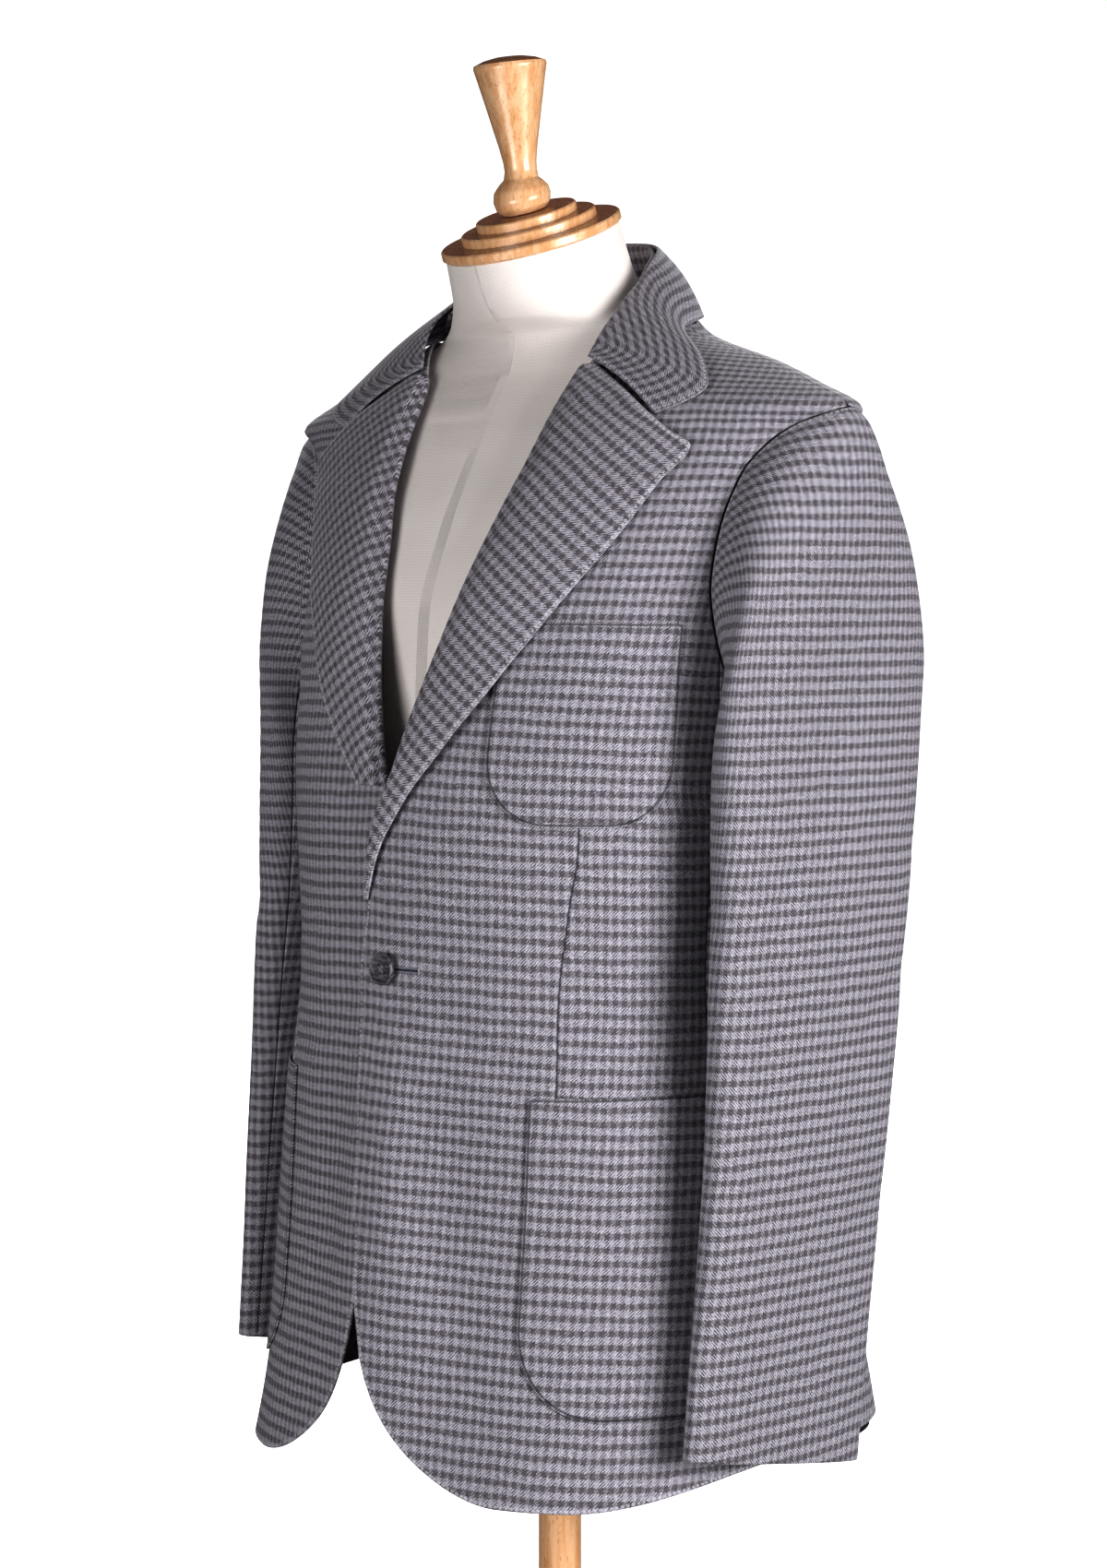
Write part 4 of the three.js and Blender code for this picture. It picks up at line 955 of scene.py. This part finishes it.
def finish_material(name, build, roughness, **fixed):
    """A material whose build function returns its colour and its bump height in millimetres."""
    material = bpy.data.materials.new(name)
    material.use_nodes = True
    tree = material.node_tree
    shader = tree.nodes["Principled BSDF"]
    colour, height, rough = build(tree)
    tree.links.new(colour, shader.inputs["Base Color"])
    if rough is None:
        shader.inputs["Roughness"].default_value = roughness
    else:
        tree.links.new(rough, shader.inputs["Roughness"])
    bump = node(tree, "ShaderNodeBump", {"Height": height, "Distance": 0.001, "Strength": 1.0})
    tree.links.new(bump.outputs[0], shader.inputs["Normal"])
    for socket, value in fixed.items():
        shader.inputs[socket.replace("_", " ")].default_value = value
    return material


PICK_PITCH = 3.4  # millimetres from one hand-picked stitch to the next


def checked_twill(name, look, edge_line):
    """Wool twill: dark and light yarn grouped both ways into a small check, with fine diagonals. A
    cosine of each length groups the yarns, the dark columns a little paler than the dark rows, and a
    sine of the lengths' difference chooses the yarn on top; the same sine paints shade and highlight
    on the twill's ridges. The eye reads the check first, then the flecks of the twill, and the
    finished edge as a thin line: pale where it is picked by hand, with a painted highlight along the
    very edge, and a dark line of painted shade where a pocket is sewn on. The seam map paints shade
    into the dart's groove."""

    def build(tree):
        u, v, place = map_axes(tree, "cloth")
        drift = calc(tree, "MULTIPLY", calc(tree, "SUBTRACT", speckle(tree, place, 0.035), 0.5), 2.4)
        fuzz = calc(tree, "MULTIPLY", calc(tree, "SUBTRACT", speckle(tree, place, 0.9, 3), 0.5), 4.2)
        yarns = []
        for axis, pitch, low, high, most in ((u, look.column_pitch, -0.5, 0.2, 0.92),
                                             (v, look.row_pitch, -0.15, 0.45, 1.0)):
            moved = calc(tree, "ADD", calc(tree, "ADD", axis, drift), fuzz)
            wave = calc(tree, "COSINE", calc(tree, "MULTIPLY", moved, 2 * math.pi / (pitch * 1000)))
            yarns.append(band(tree, wave, low, high, 0, most))
        diagonal = calc(tree, "DIVIDE", calc(tree, "SUBTRACT", u, v), look.twill_pitch * 1414)
        length = calc(tree, "MULTIPLY", calc(tree, "ADD", u, v), 0.16)
        slub_place = node(tree, "ShaderNodeCombineXYZ", {0: diagonal, 1: length}).outputs[0]
        slub = calc(tree, "SUBTRACT", speckle(tree, slub_place, 2.1, 2), 0.5)
        ridge = calc(tree, "SINE", calc(tree, "ADD", calc(tree, "MULTIPLY", diagonal, 2 * math.pi),
                                        calc(tree, "MULTIPLY", slub, 4.0)))
        upper = band(tree, ridge, -0.6, 0.5)
        dark = node(tree, "ShaderNodeMix", {0: upper, 2: yarns[0], 3: yarns[1]}).outputs[0]
        fibre = calc(tree, "SUBTRACT", speckle(tree, place, 2.6, 3), 0.5)
        cloud = calc(tree, "SUBTRACT", speckle(tree, place, 0.25, 2), 0.5)
        # The ridge term in the tone is painted shade and highlight on the twill's ridges, on top of their
        # bump.
        tone = calc(tree, "ADD", calc(tree, "MULTIPLY", ridge, 0.24), calc(tree, "MULTIPLY", slub, 2.0))
        tone = calc(tree, "ADD", tone, calc(tree, "MULTIPLY", fibre, 1.5))
        tone = calc(tree, "ADD", calc(tree, "ADD", tone, calc(tree, "MULTIPLY", cloud, 0.2)), 1.0)
        colour = scaled(tree, blend(tree, dark, tuple(look.light), tuple(look.dark)), tone)
        away, along, _ = map_axes(tree, "edge")
        picks = calc(tree, "SINE", calc(tree, "MULTIPLY", along, 2 * math.pi / PICK_PITCH))
        dash = band(tree, picks, -0.5, 0.1)
        if edge_line == "pale":
            inside = calc(tree, "MULTIPLY", band(tree, away, 0.7, 1.3), band(tree, away, 2.9, 2.2))
            line = calc(tree, "MULTIPLY", inside, dash)
            # Painted highlight along the outer millimetre of the cloth, where the rolled edge catches the
            # light.
            rim = band(tree, away, 1.0, 0.2, 0, 0.2)
            edge = calc(tree, "MAXIMUM", calc(tree, "MULTIPLY", line, 0.45), rim)
            colour = blend(tree, edge, colour, linear("#dedbe4"))
            sunk = calc(tree, "MULTIPLY", line, 0.1)
        else:
            # Painted shade: a dark line along the pocket's sewn edge, where its raised edge shades the
            # cloth.
            line = calc(tree, "MULTIPLY", band(tree, away, 0.5, 1.2), band(tree, away, 2.6, 1.8))
            colour = blend(tree, calc(tree, "MULTIPLY", line, 0.68), colour, linear("#1d1b1f"))
            sunk = calc(tree, "MULTIPLY", line, 0.35)
        # Painted shade in the dart's groove, as strong as the seam map says.
        sewn = map_axes(tree, "seam")[0]
        colour = blend(tree, band(tree, sewn, 0.55, 1.0, 0, 0.7), colour, linear("#17151a"))
        height = calc(tree, "ADD", calc(tree, "MULTIPLY", ridge, 0.045), calc(tree, "MULTIPLY", slub, 0.16))
        return colour, calc(tree, "SUBTRACT", height, sunk), None

    return finish_material(name, build, 0.85, Sheen_Weight=0.25, Sheen_Roughness=0.45)


def woven_lining(name, colour):
    """Dark satin with a faint woven figure: it shows only as a slow change of gloss in the shade."""

    def build(tree):
        _, v, place = map_axes(tree, "cloth")
        cell = node(tree, "ShaderNodeTexVoronoi", {"Vector": place, "Scale": 0.055}, feature="SMOOTH_F1")
        ring = calc(tree, "SINE", calc(tree, "MULTIPLY", cell.outputs[0], 19.0))
        figure = band(tree, ring, 0.1, 0.7)
        thread = calc(tree, "SINE", calc(tree, "MULTIPLY", v, 14.0))
        base = blend(tree, figure, tuple(colour), linear("#343b49"))
        return base, calc(tree, "MULTIPLY", thread, 0.012), band(tree, figure, 0, 1, 0.5, 0.34)

    return finish_material(name, build, 0.4)


def linen_cover(name, look):
    """Unbleached linen: an open plain weave with thick and thin yarns both ways."""

    def build(tree):
        u, v, place = map_axes(tree, "cloth")
        yarns = []
        for axis, other in ((u, v), (v, u)):
            wave = calc(tree, "SINE", calc(tree, "MULTIPLY", axis, 2 * math.pi / 0.9))
            stretch = node(tree, "ShaderNodeCombineXYZ", {0: axis, 1: calc(tree, "MULTIPLY", other, 0.05)})
            slub = speckle(tree, stretch.outputs[0], 0.9, 2)
            yarns.append(calc(tree, "MULTIPLY", wave, slub))
        weave = calc(tree, "ADD", yarns[0], yarns[1])
        shade = calc(tree, "ADD", band(tree, weave, -0.9, 0.9, 0.84, 1.05),
                     calc(tree, "MULTIPLY", calc(tree, "SUBTRACT", speckle(tree, place, 0.03), 0.5), 0.07))
        return scaled(tree, tuple(look.linen)[:3], shade), calc(tree, "MULTIPLY", weave, 0.06), None

    return finish_material(name, build, 0.9, Sheen_Weight=0.1)


def turned_beech(name, look):
    """Varnished beech: pale straight grain with short dark rays under a clear coat, and painted shade, a
    browner colour, on the upward-facing tops of the rings."""

    def build(tree):
        place = node(tree, "ShaderNodeTexCoord").outputs["Object"]
        long = node(tree, "ShaderNodeMapping", {"Vector": place, "Scale": (260, 260, 16)}).outputs[0]
        short = node(tree, "ShaderNodeMapping", {"Vector": place, "Scale": (900, 900, 190)}).outputs[0]
        grain = speckle(tree, long, 1.0, 3)
        rays = band(tree, speckle(tree, short, 1.0, 1), 0.62, 0.7)
        wood = blend(tree, band(tree, grain, 0.3, 0.72), tuple(look.wood), linear("#dca877"))
        wood = blend(tree, calc(tree, "MULTIPLY", rays, 0.45), wood, linear("#a86c3c"))
        # Painted shade: surfaces that face up are given a browner colour.
        normal = node(tree, "ShaderNodeNewGeometry").outputs["Normal"]
        up = node(tree, "ShaderNodeSeparateXYZ", {0: normal}).outputs[2]
        flat = calc(tree, "MULTIPLY", band(tree, up, 0.72, 0.9), 0.85)
        wood = blend(tree, flat, wood, tuple(look.painted_shade_top))
        height = calc(tree, "MULTIPLY", grain, 0.03)
        return wood, height, band(tree, grain, 0.2, 0.8, 0.24, 0.36)

    return finish_material(name, build, 0.3, Coat_Weight=0.35, Coat_Roughness=0.15)


def polished_horn(name, colour):
    """Dark grey horn: slightly streaked, with a dull polish that lights the button's rim."""

    def build(tree):
        place = node(tree, "ShaderNodeTexCoord").outputs["Object"]
        streak = node(tree, "ShaderNodeMapping", {"Vector": place, "Scale": (120, 500, 520)}).outputs[0]
        cloud = speckle(tree, streak, 1.0, 4)
        base = blend(tree, band(tree, cloud, 0.35, 0.7), tuple(colour), linear("#7a757d"))
        return base, calc(tree, "MULTIPLY", cloud, 0.02), band(tree, cloud, 0.2, 0.8, 0.26, 0.42)

    return finish_material(name, build, 0.3)


def sewing_thread(name, colour):
    """Twisted thread, matt, with its ply as a fine bump."""

    def build(tree):
        place = node(tree, "ShaderNodeTexCoord").outputs["Object"]
        ply = speckle(tree, place, 1500, 2)
        shade = scaled(tree, tuple(colour)[:3], band(tree, ply, 0.2, 0.8, 0.8, 1.15))
        return shade, calc(tree, "MULTIPLY", ply, 0.1), None

    return finish_material(name, build, 0.75)


def painted_floor(name, colour, glow):
    """Plain matt paper, with the faintest unevenness, lit a little by itself to stay pale."""

    def build(tree):
        place = node(tree, "ShaderNodeTexCoord").outputs["Object"]
        cloud = speckle(tree, place, 3, 2)
        return scaled(tree, tuple(colour)[:3], band(tree, cloud, 0, 1, 0.985, 1.015)), cloud, None

    return finish_material(name, build, 0.9, Specular_IOR_Level=0.15, Emission_Color=(1, 1, 1, 1),
                           Emission_Strength=glow)


# Settings that a user would change

def colour_setting(name, description, value):
    """A colour that a user may change."""
    return bpy.props.FloatVectorProperty(
        name=name, description=description, subtype="COLOR", size=4, min=0, max=1, default=linear(value))


def length_setting(name, description, value):
    """A length that a user may change, in metres."""
    return bpy.props.FloatProperty(
        name=name, description=description, unit="LENGTH", min=0.0005, default=value)


class JacketClothSettings(bpy.types.PropertyGroup):
    """Colours and check of the jacket's cloth."""

    light: colour_setting("Light yarn", "Colour where light yarns cross", "#a8a4ae")
    dark: colour_setting("Dark yarn", "Colour where dark yarns cross", "#59545a")
    column_pitch: length_setting("Column pitch", "Width of one repeat of the check", 0.00585)
    row_pitch: length_setting("Row pitch", "Height of one repeat of the check", 0.0083)
    twill_pitch: length_setting("Twill pitch", "Distance between two diagonals of the twill", 0.0014)


class JacketTrimSettings(bpy.types.PropertyGroup):
    """Colours of the lining, button and thread."""

    lining: colour_setting("Lining", "Colour of the lining's ground", "#171a22")
    button: colour_setting("Button", "Colour of the horn button", "#3a373b")
    thread: colour_setting("Thread", "Colour of the buttonhole and the button's thread", "#8a8690")


class DressFormSettings(bpy.types.PropertyGroup):
    """Colours of the dress form and its stand."""

    linen: colour_setting("Linen", "Colour of the linen cover", "#fbf3ef")
    wood: colour_setting("Wood", "Colour of the turned wood", "#efc7a0")
    painted_shade_top: colour_setting("Painted shade on tops", "Colour of the painted shade on the rings' upward-facing tops", "#8a4a20")


class StudioSettings(bpy.types.PropertyGroup):
    """The plain studio round the object."""

    floor: colour_setting("Floor", "Colour of the floor and backdrop", "#f4f3f2")
    floor_glow: bpy.props.FloatProperty(
        name="Floor glow", description="How much the paper is lit by itself", min=0, default=0.72)
    side_power: bpy.props.FloatProperty(
        name="Side light", description="Power of the soft light beside the near sleeve", unit="POWER",
        min=1, default=64)
    front_power: bpy.props.FloatProperty(
        name="Front light", description="Power of the soft light before the jacket", unit="POWER",
        min=1, default=10)
    back_power: bpy.props.FloatProperty(
        name="Back light", description="Power of the soft light behind and above", unit="POWER",
        min=1, default=75)
    sky: bpy.props.FloatProperty(
        name="Ambient light", description="Strength of the even light", min=0, default=0.06)


def placed(piece, node_names, material):
    """Gives a rigid piece its material and hides the nodes that it stands for."""
    piece.data.materials.append(material)
    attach(piece, "root")
    if node_names:
        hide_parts(*node_names)
    return piece


class JACKET_OT_dress_form(bpy.types.Operator):
    """Add the linen-covered form that the jacket rests on"""

    bl_idname = "jacket.dress_form"
    bl_label = "Dress Form"

    def execute(self, context):
        points, faces, maps = form_mesh()
        cover = mesh_piece("form_cover", points, faces, [("cloth", maps)])
        placed(cover, ["form_torso"], linen_cover("form_linen", context.scene.dress_form))
        return {"FINISHED"}


class JACKET_OT_turned_wood(bpy.types.Operator):
    """Add the neck cap, the finial whose foot follows the cap's slope, the plate and the pole stand"""

    bl_idname = "jacket.turned_wood"
    bl_label = "Cap, Finial and Stand"

    def execute(self, context):
        beech = turned_beech("turned_beech", context.scene.dress_form)
        foot = dict(zip(FORM_COLUMNS, FORM[0]))
        neck = dict(zip(FORM_COLUMNS, FORM[-1]))
        tilt = math.radians(neck["tilt"])
        up = np.array([0, -math.sin(tilt), math.cos(tilt)])
        seat = np.array([0, neck["mid"], neck["z"]]) + up * SEAM_GAP
        cap_top = seat + up * (CAP_PROFILE[-1][1] + SEAM_GAP)
        plate_top = foot["z"] - SEAM_GAP
        bottom = BASE_PROFILE[-1][1] + SEAM_GAP
        top = plate_top - PLATE_THICK - SEAM_GAP
        pole = [(0, bottom), (13.4, bottom), (POLE_RADIUS, bottom + 0.6), (POLE_RADIUS, top - 0.6),
                (13.4, top), (0, top)]
        turned = [
            ("turned_cap", "neck_cap", CAP_PROFILE, 128, neck["tilt"], seat),
            ("turned_base", "stand_base", BASE_PROFILE, 128, 0, np.zeros(3)),
            ("turned_pole", "stand_pole", pole, 64, 0, np.zeros(3)),
        ]
        for name, node_name, profile, around, lean, place in turned:
            points, faces = lathe(profile, around)
            piece = mesh_piece(name, leaning(points, lean, place), faces, sharp=38)
            placed(piece, [node_name], beech)
        points, faces = lathe(FINIAL_PROFILE, 96)
        sunk = FINIAL_PROFILE[1][0] * math.sin(tilt - math.radians(FINIAL_LEAN))
        points[:, 2] *= 1 + sunk / FINIAL_PROFILE[-1][1]
        lean = neck["tilt"] + (FINIAL_LEAN - neck["tilt"]) * smooth_step(points[:, 2], 3, 26)
        finial = mesh_piece("turned_finial", leaning(points, lean, cap_top), faces, sharp=38)
        placed(finial, ["neck_finial"], beech)
        edge = [(0, -PLATE_THICK), (0.82, -PLATE_THICK), (0.835, 0.8 - PLATE_THICK),
                (PLATE_SCALE, -0.8), (0.85, 0), (0, 0)]
        angle = np.linspace(0, 2 * np.pi, 120, endpoint=False)
        s, c = power_of(np.sin(angle), 2 / foot["power"]), power_of(np.cos(angle), 2 / foot["power"])
        depth = -np.where(c >= 0, foot["front"], foot["back"]) * c
        rings = [np.stack([foot["half"] * s * max(k, 0.001), foot["mid"] + depth * max(k, 0.001),
                           plate_top + h + 0 * s], -1) for k, h in edge]
        plate = mesh_piece("turned_plate", np.concatenate(rings),
                           grid_faces(len(edge), len(angle), closed=True), sharp=38)
        placed(plate, ["form_plate"], beech)
        return {"FINISHED"}


class JACKET_OT_panels(bpy.types.Operator):
    """Add the fronts, side panels and backs, and the lining inside the back"""

    bl_idname = "jacket.panels"
    bl_label = "Body Panels"

    def execute(self, context):
        scene = context.scene
        twill = checked_twill("jacket_twill", scene.jacket_cloth, "pale")
        checked_twill("pocket_twill_painted_shade", scene.jacket_cloth, "dark")
        lining = woven_lining("woven_lining", scene.jacket_trim.lining)
        makers = ((front_panel, "front", ["start", "bottom"], 78), (side_panel, "side", ["bottom"], 0),
                  (back_panel, "back", ["bottom"], 0))
        for side in (1, -1):
            for maker, kind, finished, lining_from in makers:
                grids, plane, *seam = maker(side)
                name = f"{side_name(side)}_{kind}"
                piece = cloth_wall(name + "_cloth", *grids, plane, finished, side, lining_from, *seam)
                cut_and_sewn(piece, name, [twill, lining])
        grids, plane = back_lining()
        piece = cloth_wall("back_lining_cloth", *grids, plane, [], -1)
        cut_and_sewn(piece, "back_lining", [lining])
        return {"FINISHED"}


class JACKET_OT_lapels(bpy.types.Operator):
    """Add the two lapels, rolled back over the fronts"""

    bl_idname = "jacket.lapels"
    bl_label = "Lapels"

    def execute(self, context):
        twill = bpy.data.materials["jacket_twill"]
        for side in (1, -1):
            grids, plane = lapel(side)
            name = side_name(side) + "_lapel"
            piece = cloth_wall(name + "_cloth", *grids, plane, ["end", "top"], side)
            cut_and_sewn(piece, name, [twill])
        return {"FINISHED"}


class JACKET_OT_pockets(bpy.types.Operator):
    """Add the three patch pockets, sewn flat on the fronts"""

    bl_idname = "jacket.pockets"
    bl_label = "Patch Pockets"

    def execute(self, context):
        twill = bpy.data.materials["pocket_twill_painted_shade"]
        pockets = ((1, "hip", HIP_POCKET), (-1, "hip", HIP_POCKET), (1, "chest", CHEST_POCKET))
        for side, kind, size in pockets:
            grids, plane = patch_pocket(side, size)
            name = f"{side_name(side)}_{kind}_pocket"
            piece = cloth_wall(name + "_cloth", *grids, plane, ["start", "bottom", "end", "top"], side)
            cut_and_sewn(piece, name, [twill])
        return {"FINISHED"}


class JACKET_OT_collar(bpy.types.Operator):
    """Add the collar's fall and the stand inside it"""

    bl_idname = "jacket.collar"
    bl_label = "Collar"

    def execute(self, context):
        twill = bpy.data.materials["jacket_twill"]
        u = 1 - 2 * shares(260, 0.004, 0.004)
        grids, plane = collar_piece(fall_surface, shares(34, 0.03), u)
        piece = cloth_wall("collar_fall_cloth", *grids, plane, ["start", "bottom", "end"], 1)
        cut_and_sewn(piece, "collar_fall", [twill])
        grids, plane = collar_piece(stand_surface, np.linspace(0, 1, 16), u * (1 - STAND_START))
        piece = cloth_wall("collar_stand_cloth", *grids, plane, [], 1)
        cut_and_sewn(piece, "collar_stand", [twill])
        return {"FINISHED"}


class JACKET_OT_sleeves(bpy.types.Operator):
    """Add the two-piece sleeves"""

    bl_idname = "jacket.sleeves"
    bl_label = "Sleeves"

    def execute(self, context):
        twill = bpy.data.materials["jacket_twill"]
        lining = bpy.data.materials["woven_lining"]
        parts = (("top", SLEEVE_SEAM_BACK, SLEEVE_SEAM_FRONT, ["top"]),
                 ("under", SLEEVE_SEAM_FRONT, SLEEVE_SEAM_BACK + 360, []))
        for side in (1, -1):
            for kind, start, end, finished in parts:
                grids, plane = sleeve_piece(side, start, end)
                name = f"{side_name(side)}_{kind}_sleeve"
                piece = cloth_wall(name + "_cloth", *grids, plane, finished, -side, 0)
                cut_and_sewn(piece, name, [twill, lining])
        return {"FINISHED"}


class JACKET_OT_button(bpy.types.Operator):
    """Add the button with its thread, and the worked buttonhole"""

    bl_idname = "jacket.button"
    bl_label = "Button and Buttonhole"

    def execute(self, context):
        trim = context.scene.jacket_trim
        thread = sewing_thread("sewing_thread", trim.thread)
        seat = button_seat()
        points, faces = button_mesh()
        button = mesh_piece("horn_button", points + seat, faces, sharp=60)
        placed(button, ["front_button"], polished_horn("polished_horn", trim.button))
        s = np.linspace(-1, 1, 13)
        strands = []
        for slope in (1, -1):
            for offset in (-0.28, 0.28):
                x, z = HOLE_SPREAD * s, HOLE_SPREAD * s * slope + offset
                y = -2.45 - 0.75 * (1 - s**4) - 0.2 * (slope < 0)
                strands.append(tube(np.stack([x, y, z], 1) + seat, 0.3, 8))
        back = np.array([[0, SHANK_LENGTH - 0.5, 0], [0, SHANK_LENGTH - 0.7, 0], [0, 0.5, 0], [0, 0.3, 0]])
        strands.append(tube(back + seat, SHANK_RADIUS, 16))
        points, faces = joined(strands)
        placed(mesh_piece("button_thread", points, faces), ["button_shank"], thread)

        def on_front(x, z, out):
            """Points on the left front's cloth, moved out."""
            turn = turn_at_x(x, z)
            return body_point(1, turn, z, out - body_relief(turn, z))

        x = np.linspace(BUTTONHOLE_START, BUTTONHOLE_END, 30)
        bars = [tube(on_front(x, BUTTON_HEIGHT + rise + 0 * x, 0.25 + 0 * x), 0.6)
                for rise in (BUTTONHOLE_HALF, -BUTTONHOLE_HALF)]
        rise = np.linspace(-3, 3, 9)
        end = BUTTONHOLE_END + 0.6 + 0 * rise
        bars.append(tube(on_front(end, BUTTON_HEIGHT + rise, 0.35 + 0 * rise), 0.75))
        points, faces = joined(bars)
        placed(mesh_piece("worked_buttonhole", points, faces), [], thread)
        # A dark tube in the lining's colour along the slit: painted shade in the buttonhole's opening.
        points, faces = tube(on_front(x, BUTTON_HEIGHT + 0 * x, 0.05 + 0 * x), 0.8)
        placed(mesh_piece("buttonhole_slit_shade", points, faces), [],
               bpy.data.materials["woven_lining"])
        return {"FINISHED"}


# The camera stands level, at the photograph's angle. The axis of the object is seen at this pixel.
CAMERA_AZIMUTH = 41.5
CAMERA_DISTANCE = 2.066
CAMERA_HEIGHT = 0.704
IMAGE_WIDTH, IMAGE_HEIGHT = 1200, 1700
FOCAL_PIXELS = 3400
AXIS_PIXEL = (607, 650)
FLOOR_RADIUS, BACKDROP_CURVE, BACKDROP_HEIGHT = 3400, 1500, 7000  # in millimetres

# Lights: name, degrees round from the front, degrees up, metres away and metres wide. They aim at a
# point on the axis, LIGHT_TARGET metres up, and the one behind stays out of reflections. Exposure and
# gamma were chosen by comparing brightness with the photograph's.
LIGHTS = (
    ("side_light", 86, 8, 2.6, 1.3),
    ("front_light", 2, 2, 1.5, 0.7),
    ("back_light", 222, 38, 2.6, 1.6),
)
LIGHT_TARGET = 0.45
EXPOSURE, GAMMA = 0.45, 0.75


class JACKET_OT_studio(bpy.types.Operator):
    """Add the pale floor and backdrop, the soft lights and the camera"""

    bl_idname = "jacket.studio"
    bl_label = "Studio"

    def execute(self, context):
        scene, look = context.scene, context.scene.jacket_studio
        azimuth = math.radians(CAMERA_AZIMUTH)
        bend = np.radians(np.linspace(0, 90, 24))
        sweep = [(0, 0), (FLOOR_RADIUS, 0)]
        sweep += [(FLOOR_RADIUS + BACKDROP_CURVE * math.sin(b), BACKDROP_CURVE * (1 - math.cos(b)))
                  for b in bend[1:]]
        sweep += [(FLOOR_RADIUS + BACKDROP_CURVE, BACKDROP_HEIGHT)]
        points, faces = lathe(sweep, 96)
        floor = mesh_piece("studio_floor", points, faces[:, ::-1])
        floor.data.materials.append(painted_floor("pale_paper", look.floor, look.floor_glow))
        # The paper lights itself in part. It throws no light or shadow on the object and isn't mirrored.
        floor.visible_diffuse = floor.visible_glossy = floor.visible_shadow = False
        powers = (look.side_power, look.front_power, look.back_power)
        for (name, degrees, rise, away, size), power in zip(LIGHTS, powers):
            light = bpy.data.lights.new(name, "AREA")
            light.energy, light.size = power, size
            lamp = bpy.data.objects.new(name, light)
            lamp.visible_glossy = name != "back_light"
            a, e = math.radians(degrees), math.radians(rise)
            way = np.array([math.sin(a) * math.cos(e), -math.cos(a) * math.cos(e), math.sin(e)])
            lamp.location = way * away + np.array([0, 0, LIGHT_TARGET])
            lamp.rotation_euler = (math.pi / 2 - e, 0, a)
            scene.collection.objects.link(lamp)
        world = bpy.data.worlds.new("even_light")
        world.use_nodes = True
        world.node_tree.nodes["Background"].inputs[0].default_value = (1, 1, 1, 1)
        world.node_tree.nodes["Background"].inputs[1].default_value = look.sky
        scene.world = world
        scene.view_settings.view_transform = "Standard"
        scene.view_settings.exposure, scene.view_settings.gamma = EXPOSURE, GAMMA
        lens = bpy.data.cameras.new("photo_camera")
        lens.sensor_width, lens.lens = 36, 36 * FOCAL_PIXELS / IMAGE_HEIGHT
        lens.shift_x = (IMAGE_WIDTH / 2 - AXIS_PIXEL[0]) / IMAGE_HEIGHT
        lens.shift_y = (AXIS_PIXEL[1] - IMAGE_HEIGHT / 2) / IMAGE_HEIGHT
        camera = bpy.data.objects.new("photo_camera", lens)
        camera.location = (math.sin(azimuth) * CAMERA_DISTANCE, -math.cos(azimuth) * CAMERA_DISTANCE,
                           CAMERA_HEIGHT)
        camera.rotation_euler = (math.pi / 2, 0, azimuth)
        scene.collection.objects.link(camera)
        scene.camera = camera
        return {"FINISHED"}


OPERATORS = (
    JACKET_OT_dress_form, JACKET_OT_turned_wood, JACKET_OT_panels, JACKET_OT_lapels, JACKET_OT_pockets,
    JACKET_OT_collar, JACKET_OT_sleeves, JACKET_OT_button, JACKET_OT_studio,
)
SETTINGS = {
    "jacket_cloth": JacketClothSettings, "jacket_trim": JacketTrimSettings,
    "dress_form": DressFormSettings, "jacket_studio": StudioSettings,
}


class JACKET_PT_sidebar(bpy.types.Panel):
    """Lists the jacket's pieces and settings"""

    bl_idname = "JACKET_PT_sidebar"
    bl_label = "Jacket"
    bl_space_type = "VIEW_3D"
    bl_region_type = "UI"
    bl_category = "Jacket"

    def draw(self, context):
        for name, group in SETTINGS.items():
            for setting in group.__annotations__:
                self.layout.prop(getattr(context.scene, name), setting)
        for operator in OPERATORS:
            self.layout.operator(operator.bl_idname)


def register():
    for cls in (*SETTINGS.values(), *OPERATORS, JACKET_PT_sidebar):
        bpy.utils.register_class(cls)
    for name, group in SETTINGS.items():
        setattr(bpy.types.Scene, name, bpy.props.PointerProperty(type=group))


def unregister():
    for name in SETTINGS:
        delattr(bpy.types.Scene, name)
    for cls in reversed((*SETTINGS.values(), *OPERATORS, JACKET_PT_sidebar)):
        bpy.utils.unregister_class(cls)


def main():
    """Adds the whole object and its studio."""
    register()
    for operator in OPERATORS:
        group, name = operator.bl_idname.split(".")
        getattr(getattr(bpy.ops, group), name)()


if __name__ == "__main__":
    main()
